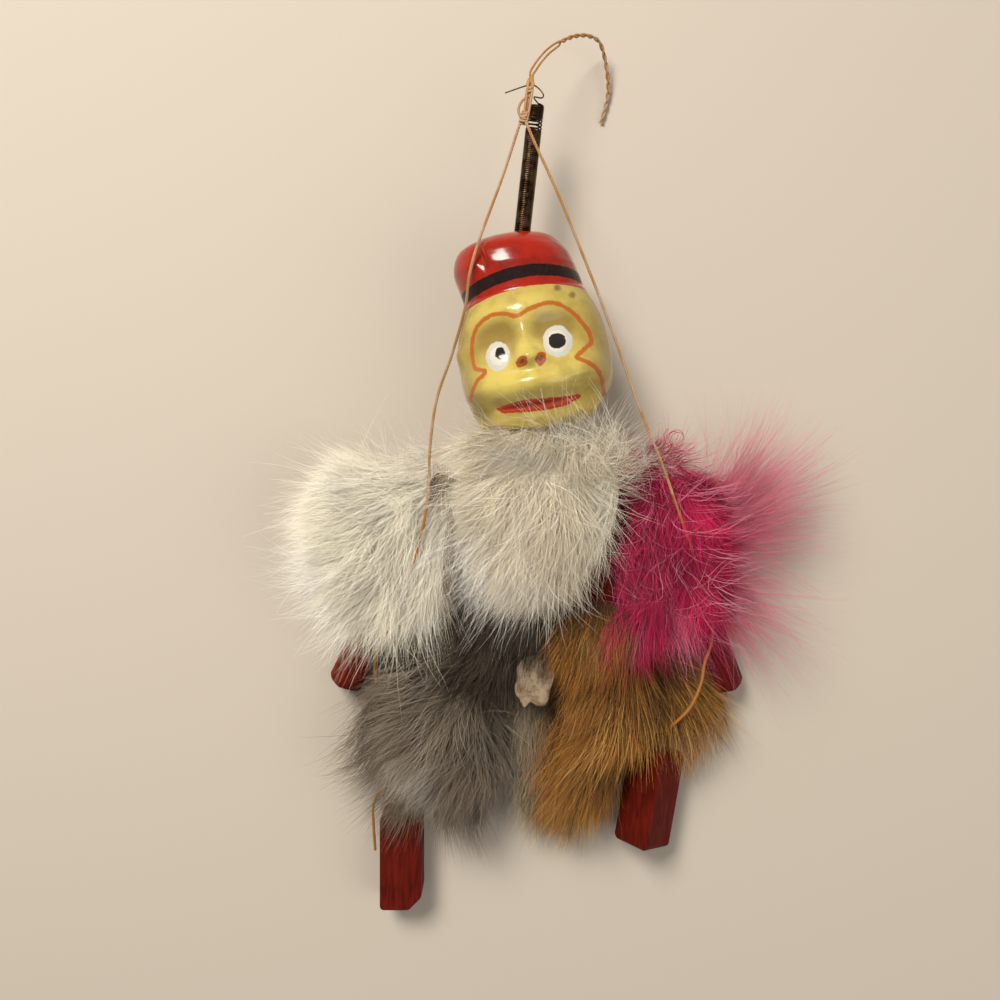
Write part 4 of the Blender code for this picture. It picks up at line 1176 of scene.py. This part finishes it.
def comb(
    roots, normals, flow, lengths, seed,
    lift=0.35, droop=0.2, curl=0.3, stray=0.16, clump=0.4, lock=40, steps=5,
):
    """Hair lines from their roots: they leave along the skin, follow the comb and gather in locks."""
    rng = np.random.default_rng(seed)
    count = len(roots)
    flow = unit(flow)
    own = rng.normal(size=(count, 3)) * np.array((1.0, 1.0, 0.5))
    wander = swirl(roots, 4.5, seed + 1)
    line = [roots]
    rise = lift * (0.3 + rng.random((count, 1))) * normals
    way = unit(flow + rise + 1.6 * stray * own + 0.3 * curl * wander)
    for k in range(1, steps):
        t = k / (steps - 1)
        line.append(line[-1] + way * (lengths / (steps - 1))[:, None])
        turn = curl * (0.7 * wander + 0.5 * swirl(line[-1], 2.4, seed + 2)) + stray * own
        way = unit(way + 0.5 * flow + 0.8 * turn - np.array((0, 0, droop * (0.3 + t))))
    line = np.stack(line, axis=1)
    guides = rng.choice(count, size=max(1, count // lock), replace=False)
    tree = KDTree(len(guides))
    for k, index in enumerate(guides):
        tree.insert(roots[index], k)
    tree.balance()
    nearest = np.array([guides[tree.find(p)[1]] for p in roots])
    t = np.linspace(0, 1, steps)[None, :, None]
    pull = clump * rng.random((count, 1, 1)) * t**1.4
    line = line * (1 - pull) + (line[nearest] + 0.12 * own[:, None, :]) * pull
    line[:, :, 2] = np.maximum(line[:, :, 2], HAIR_FLOOR + 0.3 * rng.random((count, 1)))
    near, far = (np.array(corner[:2]) / MM for corner in CAD_BOX)
    line[:, :, :2] = np.clip(line[:, :, :2], near - HAIR_MARGIN, far + HAIR_MARGIN)
    return line


def strands(name, lines, width, seed, finish, body):
    """A fur piece: every line of points becomes one tapered hair, as wide as a share of the usual width."""
    count, steps, _ = lines.shape
    mesh = bpy.data.meshes.new(name)
    mesh.vertices.add(count * steps)
    mesh.vertices.foreach_set("co", (lines * MM).astype(np.float32).ravel())
    first = (np.arange(count)[:, None] * steps + np.arange(steps - 1)[None, :]).ravel()
    mesh.edges.add(len(first))
    mesh.edges.foreach_set("vertices", np.stack([first, first + 1], axis=1).astype(np.int32).ravel())
    t = np.tile(np.linspace(0, 1, steps), count)
    own = np.repeat(np.random.default_rng(seed).random(count), steps)
    thick = width * bpy.context.scene.toy_sizes.hair_width
    store(mesh, "along", t)
    store(mesh, "hair", own)
    store(mesh, "width", thick / 2 * (0.6 + 0.7 * own) * (1.0 - 0.86 * t**1.6))
    made = add_object(name, mesh)
    made.modifiers.new("tube", "NODES").node_group = bpy.data.node_groups["strand_tube"]
    add_piece(name, baked(made, name), finish, body)


def along_angles(pivot, table):
    """A comb given as degrees from -Y towards +X, by the angle at which a root lies round a pivot."""

    def flow(roots):
        way = np.radians(np.interp(round_pivot(roots, pivot)[0], list(table), list(table.values())))
        return np.stack([np.sin(way), -np.cos(way), np.zeros(len(roots))], axis=1)

    return flow


def towards(x, y):
    return lambda roots: np.tile(np.array((x, y, 0.0)), (len(roots), 1))


def spread(low, high, power=1.6):
    """Lengths between two sizes, most of them near the lower."""
    return lambda roots, rng: low + (high - low) * rng.random(len(roots)) ** power


class Coat:
    """Fur on one body, combed by a flow, whose edge lies at given distances from a pivot. Its slot is stored
    but not used.
    """

    def __init__(self, slot, body, pivot=None, edge=None, flow=None):
        self.slot = slot
        self.body = body
        self.pivot = pivot
        self.edge = edge
        self.flow = flow

    def edge_at(self, angle, share):
        return np.interp(angle, list(self.edge), [share * far for far in self.edge.values()])

    def pad(self, name, finish, share=None):
        """The matted coat: the solid pad's own form, merged, and fitted to a share of the edge if given."""
        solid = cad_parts[name].data
        bm = bmesh.new()
        bm.from_mesh(solid)
        bmesh.ops.remove_doubles(bm, verts=bm.verts, dist=1e-6)
        if share:
            self.fit(bm, points_of(solid), share)
        mesh = mesh_from(bm, f"{name}_coat", 1.0)
        add_piece(f"{name}_coat", mesh, finish, self.body, [name])

    def fit(self, bm, points, share):
        """Sizes a pad's form so that its outline, as its points give it, lies at a share of the edge."""
        angles, reach = round_pivot(points, self.pivot)
        bins = [k for k in range(-180, 181, 6) if (np.abs(angles - k) < 6).any()]
        outline = [reach[np.abs(angles - k) < 6].max() for k in bins]
        for vert in bm.verts:
            spot = vert.co / MM
            off = spot - self.pivot
            angle = math.degrees(math.atan2(off.x, -off.y))
            by = float(self.edge_at(angle, share) / np.interp(angle, bins, outline))
            by = min(1.5, max(0.35, by))
            vert.co = Vector((self.pivot.x + off.x * by, self.pivot.y + off.y * by, spot.z)) * MM

    def mound(self, name, finish, spot, half, turn):
        """A low swell of matted fur that rests on the floor side."""
        bm = bmesh.new()
        bmesh.ops.create_icosphere(bm, subdivisions=4, radius=1.0)
        for vert in bm.verts:
            u, v, w = (c * h for c, h in zip(vert.co, half))
            place = (u * math.cos(turn) - v * math.sin(turn), u * math.sin(turn) + v * math.cos(turn), w)
            vert.co = Vector(spot) + Vector(place)
            vert.co.z = max(vert.co.z, 0.4)
        add_piece(f"{name}_coat", mesh_from(bm, f"{name}_coat"), finish, self.body)

    def reach(self, low, high, loose=0.3, share=1.0):
        """Lengths between two sizes that end near a share of the coat's edge."""

        def lengths(roots, rng):
            angle, away = round_pivot(roots, self.pivot)
            want = low + (high - low) * rng.random(len(roots)) ** 1.3
            room = self.edge_at(angle, share) - away
            limit = room * (1 - loose + 2 * loose * rng.random(len(roots))) + 1.0
            return np.clip(np.minimum(want, limit), 2.5, None)

        return lengths

    def grow(self, name, finish, sources, count, lengths, seed, flow=None, keep=None, width=1.0, **how):
        """One piece of fur, rooted on coats by name or on oval patches, each with its share of the hairs."""
        rng = np.random.default_rng(seed)
        found = []
        for source, share in sources.items():
            number = int(count * share * bpy.context.scene.toy_sizes.hair_share)
            on_coat = isinstance(source, str)
            found.append(roots_on(source, number, rng) if on_coat else patch(*source, number, rng))
        roots, normals = (np.concatenate(part) for part in zip(*found))
        if keep:
            kept = keep(roots)
            roots, normals = roots[kept], normals[kept]
        lines = comb(roots, normals, (flow or self.flow)(roots), lengths(roots, rng), seed, **how)
        strands(name, lines, width, seed, finish, self.body)

    def guards(self, name, finish, sources, count, lengths, seed, **how):
        """The few long, pale hairs that stand out of a coat, each on its own."""
        lone = dict(width=1.05, clump=0.06, lock=12, curl=0.5, stray=0.34, lift=0.7, droop=0.06, steps=7)
        self.grow(name, finish, sources, count, lengths, seed, **{**lone, **how})


class TOY_OT_arm_fur(bpy.types.Operator):
    """Grows the white fur on one arm and the dyed pink fur on the other"""

    bl_idname = "toy.arm_fur"
    bl_label = "Arm fur"

    def execute(self, context):
        flow = along_angles((-17.0, 15.0), WHITE_COMB)
        fur = Coat("white_fur", "white_arm", WHITE_SHOULDER, WHITE_EDGE, flow)
        pad = "white_arm_fur"
        shoulder = (-19.0, 11.0, 7.0, 6.5, 11.5, 0.0)
        inner = (-20.6, -0.5, 2.6, 9.5, 10.4, -0.12)
        fur.pad(pad, "white_coat", 0.86)
        fur.grow(
            "white_arm_hair", "white_hair", {pad: 0.76, shoulder: 0.1, inner: 0.14}, 7400,
            fur.reach(6.0, 13.0, 0.35), 11, clump=0.18, lock=50, curl=0.42, stray=0.2, lift=0.28, steps=4,
        )
        fur.grow(
            "white_arm_tips", "white_hair", {pad: 0.8, shoulder: 0.08, inner: 0.12}, 4600,
            fur.reach(9.0, 19.0, 0.4, 1.14), 12, width=0.66, clump=0.22, lock=70, curl=0.4, stray=0.24,
        )
        fur.guards(
            "white_arm_guard", "white_guard", {pad: 0.8, inner: 0.2}, 700, fur.reach(9.0, 20.0, 0.4, 1.3), 13
        )
        flow = along_angles((17.0, 15.0), PINK_COMB)
        fur = Coat("pink_fur", "pink_arm", PINK_SHOULDER, PINK_EDGE, flow)
        pad = "pink_arm_fur"
        everywhere = {
            pad: 0.66,
            (18.5, 12.0, 5.5, 6.0, 11.5, 0.0): 0.14,
            (16.0, -2.5, 3.8, 10.0, 10.4, 0.0): 0.2,
        }
        hanging = (15.2, -12.6, 5.6, 4.0, 15.0, 0.3)
        outer = {(31.0, 5.0, 5.0, 5.5, 8.0, 0.0): 0.68, (29.5, -6.0, 4.0, 8.0, 7.0, 0.3): 0.32}
        fur.pad(pad, "pink_coat", 0.85)
        fur.grow(
            "pink_arm_hair", "pink_hair", everywhere, 7600, fur.reach(5.0, 11.0, 0.35), 21,
            clump=0.35, lock=40, curl=0.6, steps=4,
        )
        fur.grow(
            "pink_arm_tips", "pink_hair", everywhere, 4200, fur.reach(8.0, 17.0, 0.5, 1.2), 22,
            width=0.8, clump=0.3, lock=50, curl=0.7, stray=0.24,
        )
        fur.grow(
            "pink_arm_ends", "pink_hair", {hanging: 1.0}, 900, spread(4.0, 10.5, 1.3), 26,
            width=0.8, clump=0.3, lock=30, curl=0.5, stray=0.2, lift=0.1,
        )
        fur.guards(
            "pink_arm_guard", "pink_guard", everywhere, 560, fur.reach(7.0, 16.0, 0.6, 1.2), 23,
            curl=1.0, stray=0.45,
        )
        t = np.linspace(-0.6, 4.6, 26)
        curls = []
        for turn, reach, high in ((0.0, 1.9, 0.0), (0.7, 2.2, 0.5), (1.5, 1.6, 0.9), (2.4, 2.0, 1.3)):
            u = 21.9 + reach * np.cos(t + turn) + 0.5 * t
            v = 19.2 + 0.8 * reach * np.sin(t + turn) - 0.25 * t
            curls.append(np.stack([u, v, 11.0 + high + 0.5 * np.sin(t)], axis=1))
        strands("pink_curl", np.stack(curls), 1.9, 24, "pink_hair", "pink_arm")
        fur.grow(
            "pink_arm_wisps", "pink_wisps", outer, 2500, spread(8.0, 26.0, 1.1), 25,
            flow=along_angles((18.0, 4.0), PINK_WISPS_COMB), width=0.62, curl=0.35, clump=0.25, lift=0.25,
            stray=0.24,
        )
        return {"FINISHED"}


class TOY_OT_leg_fur(bpy.types.Operator):
    """Grows the grey fur on one leg and the golden-brown fur on the other"""

    bl_idname = "toy.leg_fur"
    bl_label = "Leg fur"

    def execute(self, context):
        flow = along_angles((-9.0, -17.0), GREY_COMB)
        fur = Coat("grey_fur", "grey_leg", GREY_HIP, GREY_EDGE, flow)
        pad, top = "grey_leg_fur", "grey_leg_top"
        groin = (-11.5, -22.0, 6.5, 5.0, 11.0, 0.0)
        outer = {
            (-28.0, -29.5, 4.5, 10.0, 7.0, -0.3): 0.6,
            (-16.0, -43.0, 5.0, 3.0, 8.0, 0.0): 0.24,
            (-25.4, -42.4, 3.4, 1.6, 8.6, 0.0): 0.16,
        }
        fur.pad(pad, "grey_coat", 0.84)
        fur.mound(top, "dark_coat", (-19.5, -21.0, 4.0), (9.0, 8.0, 4.6), 0.1)
        fur.grow(
            "grey_leg_hair", "grey_hair", {pad: 0.84, top: 0.16}, 7600, fur.reach(7.0, 13.0, 0.35), 31,
            clump=0.45, lock=30, curl=0.5, stray=0.24, steps=4,
        )
        fur.grow(
            "grey_leg_dark", "dark_hair", {top: 0.62, groin: 0.38}, 3000, spread(4.0, 9.0), 33,
            clump=0.35, lock=30, curl=0.45, stray=0.22,
        )
        fur.grow(
            "grey_leg_wisps", "grey_wisps", outer, 1900, spread(6.0, 13.0, 1.2), 35,
            flow=along_angles((-9.0, -17.0), GREY_WISPS_COMB), curl=0.4, clump=0.35,
        )
        fur.guards(
            "grey_leg_guard", "grey_guard", {pad: 0.75, top: 0.25}, 650, fur.reach(6.0, 14.0, 0.5), 34,
            width=0.7, stray=0.17, curl=0.3, lift=0.5,
        )
        flow = along_angles((11.0, -15.0), TAN_COMB)
        fur = Coat("tan_fur", "tan_leg", TAN_HIP, TAN_EDGE, flow)
        pad, left, right, upper = "tan_leg_fur", "tan_leg_left", "tan_leg_right", "tan_leg_upper"
        groin = (9.5, -20.0, 7.0, 5.0, 11.5, 0.0)
        fur.pad(pad, "tan_coat")
        fur.mound(left, "tan_coat", (4.4, -36.0, 3.6), (4.6, 12.5, 3.6), -0.12)
        fur.mound(right, "tan_coat", (22.6, -26.4, 2.6), (10.4, 6.8, 3.2), -0.5)
        fur.mound(upper, "tan_coat", (21.6, -19.4, 3.4), (6.8, 6.4, 3.8), -0.3)
        fur.grow(
            "tan_leg_hair", "tan_hair", {pad: 0.6, left: 0.26, groin: 0.14}, 7800, fur.reach(7.0, 14.0), 41,
            clump=0.7, lock=60, curl=0.18, stray=0.12, steps=4,
        )
        fur.grow(
            "tan_leg_tips", "tan_hair", {pad: 0.36, left: 0.18, right: 0.32, upper: 0.14}, 5000,
            fur.reach(9.0, 17.0, 0.4), 42, clump=0.6, lock=50, curl=0.24,
        )
        fur.guards(
            "tan_leg_guard", "tan_guard", {pad: 0.55, left: 0.25, right: 0.2}, 1100,
            fur.reach(8.0, 16.0, 0.4, 1.1), 43, curl=0.18, stray=0.13, lift=0.5, clump=0.3, lock=8,
        )
        return {"FINISHED"}


class TOY_OT_body_fur(bpy.types.Operator):
    """Grows the cream bib, the dark belly fur, the pale tuft between the legs and the pelt on the back"""

    bl_idname = "toy.body_fur"
    bl_label = "Body fur"

    def execute(self, context):
        flow = along_angles((-1.0, 25.0), BIB_COMB)
        bib = Coat("white_fur", "torso", BIB_HEART, BIB_EDGE, flow)
        chest = {"chest_fur": 1.0}
        bib.pad("chest_fur", "white_coat", 0.87)
        bib.grow(
            "bib_hair", "bib_hair", chest, 7400, bib.reach(6.0, 13.0, 0.35), 51,
            clump=0.2, lock=50, curl=0.32, stray=0.18, lift=0.28, steps=4,
        )
        bib.grow(
            "bib_tips", "bib_hair", chest, 4400, bib.reach(9.0, 18.0, 0.35, 1.16), 52,
            width=0.68, clump=0.35, lock=60, curl=0.34, stray=0.2,
        )
        bib.grow(
            "bib_top", "bib_hair", {(-2.6, 18.0, 11.0, 3.0, 16.5, 0.0): 1.0}, 1700, spread(5.0, 11.0), 53,
            flow=along_angles((-1.0, 26.0), BIB_COMB), clump=0.3, lock=40, curl=0.35, lift=1.0, droop=0.1,
        )
        collar = {(-1.0, 17.5, 12.0, 3.0, 16.0, 0.0): 0.72, (9.5, 13.5, 3.0, 4.0, 16.5, 0.0): 0.28}
        bib.grow(
            "collar_hair", "bib_hair", collar, 1050, spread(4.0, 12.0), 55,
            flow=along_angles((-1.0, 9.0), COLLAR_COMB), width=0.72, clump=0.3, lock=30, curl=0.55,
            lift=0.6, droop=-0.02, stray=0.26,
        )
        belly = Coat("grey_fur", "torso", flow=towards(-0.25, -1.0))
        belly.pad("belly_fur", "belly_coat")
        folds = {
            "belly_fur": 0.4,
            (-7.0, -17.5, 6.0, 4.0, 11.0, 0.0): 0.3,
            (-12.0, -11.6, 6.0, 3.6, 11.4, 0.0): 0.3,
        }
        belly.grow(
            "belly_hair", "dark_hair", folds, 2500, spread(4.0, 9.0), 61,
            keep=lambda roots: roots[:, 0] < 1.5, steps=4,
        )
        hip = Coat("tan_fur", "torso", flow=towards(-0.16, -1.0))
        hip.grow(
            "hip_hair", "tan_hair", {(8.6, -13.2, 7.0, 4.5, 14.9, 0.0): 1.0}, 1700, spread(6.0, 11.0), 65,
            clump=0.55, lock=50, steps=4,
        )
        tuft = Coat("pale_fur", "torso", flow=towards(0.0, -1.0))
        tuft.pad("pale_tuft", "pale_coat")
        tuft.grow(
            "pale_tuft_hair", "pale_hair", {"pale_tuft": 1.0}, 2400, spread(5.0, 10.0), 71,
            curl=0.25, width=0.8, steps=4,
        )
        bib.guards(
            "bib_guard", "white_guard", chest, 800, spread(7.0, 16.0, 1.2), 54,
            flow=along_angles((-1.0, 16.0), BIB_GUARD_COMB),
        )
        chin = {(7.2, 15.6, 6.5, 3.2, 17.2, 0.0): 0.7, (-4.0, 16.6, 6.5, 2.2, 17.2, 0.0): 0.3}
        bib.guards(
            "chin_guard", "white_guard", chin, 230, spread(6.0, 14.0, 1.2), 56, flow=towards(-0.5, 0.8),
            lift=1.5, droop=0.3, curl=0.9, stray=0.5, width=0.8,
        )
        bib.grow(
            "bib_lock", "white_hair", {(9.6, 8.6, 2.3, 6.6, 16.0, -0.12): 1.0}, 800,
            spread(4.0, 13.0, 1.2), 57, flow=towards(-0.5, -1.0), width=0.8, clump=0.4, lock=40, curl=0.3,
        )
        # Painted shade: a line of darker hairs laid in the crevice between the white arm and the bib
        groove = {(-17.4, -1.5, 0.7, 9.0, 15.0, -0.05): 0.6, (-18.8, 12.4, 2.6, 2.4, 12.4, 0.0): 0.4}
        bib.grow(
            "groove_shade_hair", "pale_hair", groove, 560, spread(3.0, 6.5), 58, flow=towards(0.05, -1.0),
            width=0.8, lift=0.15,
        )
        self.chin_strands()
        self.hide_flap()
        Coat("back_pelt", "torso").pad("back_pelt", "pelt_coat")
        return {"FINISHED"}

    def chin_strands(self):
        """Long hairs of the bib that curl up over the chin and the cheek."""
        rng = np.random.default_rng(59)
        count = 64
        t = np.linspace(0.0, 1.0, 9)[None, :]
        across = rng.uniform(0.5, 13.0, (count, 1))
        way = np.radians(rng.uniform(-5.0, 78.0, (count, 1)))
        size = rng.uniform(6.0, 15.0, (count, 1))
        bend = rng.uniform(-2.2, 2.2, (count, 1)) * np.sin(np.pi * t)
        x = across - size * np.sin(way) * t + bend * np.cos(way)
        y = 16.8 - 0.12 * across + size * np.cos(way) * t + bend * np.sin(way)
        z = 16.4 + 10.2 * np.sin(0.5 * np.pi * np.minimum(1.0, 1.5 * t)) * np.ones((count, 1))
        strands("chin_hair", np.stack([x, y, z], axis=2), 0.85, 59, "white_guard", "torso")

    def hide_flap(self):
        """The torn scrap of bare hide between the legs."""
        bm = bmesh.new()
        bmesh.ops.create_grid(bm, x_segments=36, y_segments=36, size=1.0)
        for vert in bm.verts:
            u, v, _ = vert.co
            reach = max(abs(u), abs(v))
            turn = math.atan2(v, u)
            edge = float(np.interp(math.degrees(turn), list(HIDE_EDGE), list(HIDE_EDGE.values())))
            away = reach * edge * (1 + 0.04 * math.sin(5 * turn + 1) * reach)
            x = HIDE_PLACE.x + away * math.cos(turn)
            y = HIDE_PLACE.y + away * math.sin(turn)
            rise = 0.9 * (1 - reach**2) + 0.35 * math.sin(1.3 * x) * math.cos(1.1 * y)
            vert.co = Vector((x, y, HIDE_PLACE.z + rise))
        made = add_piece("bare_hide", mesh_from(bm, "bare_hide"), "bare_hide", "torso")
        thicken(made, 0.35 * MM)


# Stage


class TOY_OT_stage(bpy.types.Operator):
    """Lays the pale floor and sets the soft lights and the camera"""

    bl_idname = "toy.stage"
    bl_label = "Stage"

    def execute(self, context):
        scene = context.scene
        bm = bmesh.new()
        bmesh.ops.create_grid(bm, x_segments=1, y_segments=1, size=3000.0)
        floor = add_object("floor", mesh_from(bm, "floor"))
        sockets = {"Base Color": scene.toy_colours.floor, "Roughness": 0.9, "Specular IOR Level": 0.1}
        new_material("floor", sockets)
        floor.data.materials.append(FINISHES["floor"])
        world = bpy.data.worlds.new("soft_room")
        world.use_nodes = True
        back = world.node_tree.nodes["Background"]
        back.inputs["Color"].default_value = (1.0, 0.97, 0.93, 1.0)
        back.inputs["Strength"].default_value = 0.36
        scene.world = world
        for name, spot, size, energy, tint in LAMPS:
            lamp = bpy.data.lights.new(name, "AREA")
            lamp.energy = energy
            lamp.size = size * MM
            lamp.color = tint
            made = add_object(name, lamp)
            made.location = Vector(spot) * MM
            aim = Vector((0, 10, 0)) - Vector(spot)
            made.rotation_euler = aim.to_track_quat("-Z", "Y").to_euler()
        view = bpy.data.cameras.new("camera")
        view.lens = CAMERA_LENS
        view.sensor_width = 36.0
        view.clip_start = 0.01
        view.clip_end = 20.0
        made = add_object("camera", view)
        made.location = Vector(CAMERA_SPOT) * MM
        scene.camera = made
        scene.view_settings.view_transform = "Standard"
        return {"FINISHED"}


class TOY_PT_panel(bpy.types.Panel):
    """Lists the toy's pieces in the order they are made"""

    bl_idname = "TOY_PT_panel"
    bl_label = "Monkey Toy"
    bl_space_type = "VIEW_3D"
    bl_region_type = "UI"
    bl_category = "Toy"

    def draw(self, context):
        for made in OPERATORS:
            self.layout.operator(made.bl_idname)
        for group in (context.scene.toy_sizes, context.scene.toy_colours):
            column = self.layout.column()
            for key in group.__annotations__:
                column.prop(group, key)


OPERATORS = (
    TOY_OT_finishes,
    TOY_OT_stage,
    TOY_OT_strings,
    TOY_OT_tail,
    TOY_OT_knot,
    TOY_OT_spring,
    TOY_OT_head,
    TOY_OT_wood,
    TOY_OT_arm_fur,
    TOY_OT_leg_fur,
    TOY_OT_body_fur,
)
CLASSES = (ToySizes, ToyColours, *OPERATORS, TOY_PT_panel)


def register():
    for made in CLASSES:
        bpy.utils.register_class(made)
    bpy.types.Scene.toy_sizes = bpy.props.PointerProperty(type=ToySizes)
    bpy.types.Scene.toy_colours = bpy.props.PointerProperty(type=ToyColours)


def unregister():
    del bpy.types.Scene.toy_colours
    del bpy.types.Scene.toy_sizes
    for made in reversed(CLASSES):
        bpy.utils.unregister_class(made)


def main():
    register()
    for made in OPERATORS:
        group, name = made.bl_idname.split(".")
        getattr(getattr(bpy.ops, group), name)()


if __name__ == "__main__":
    main()
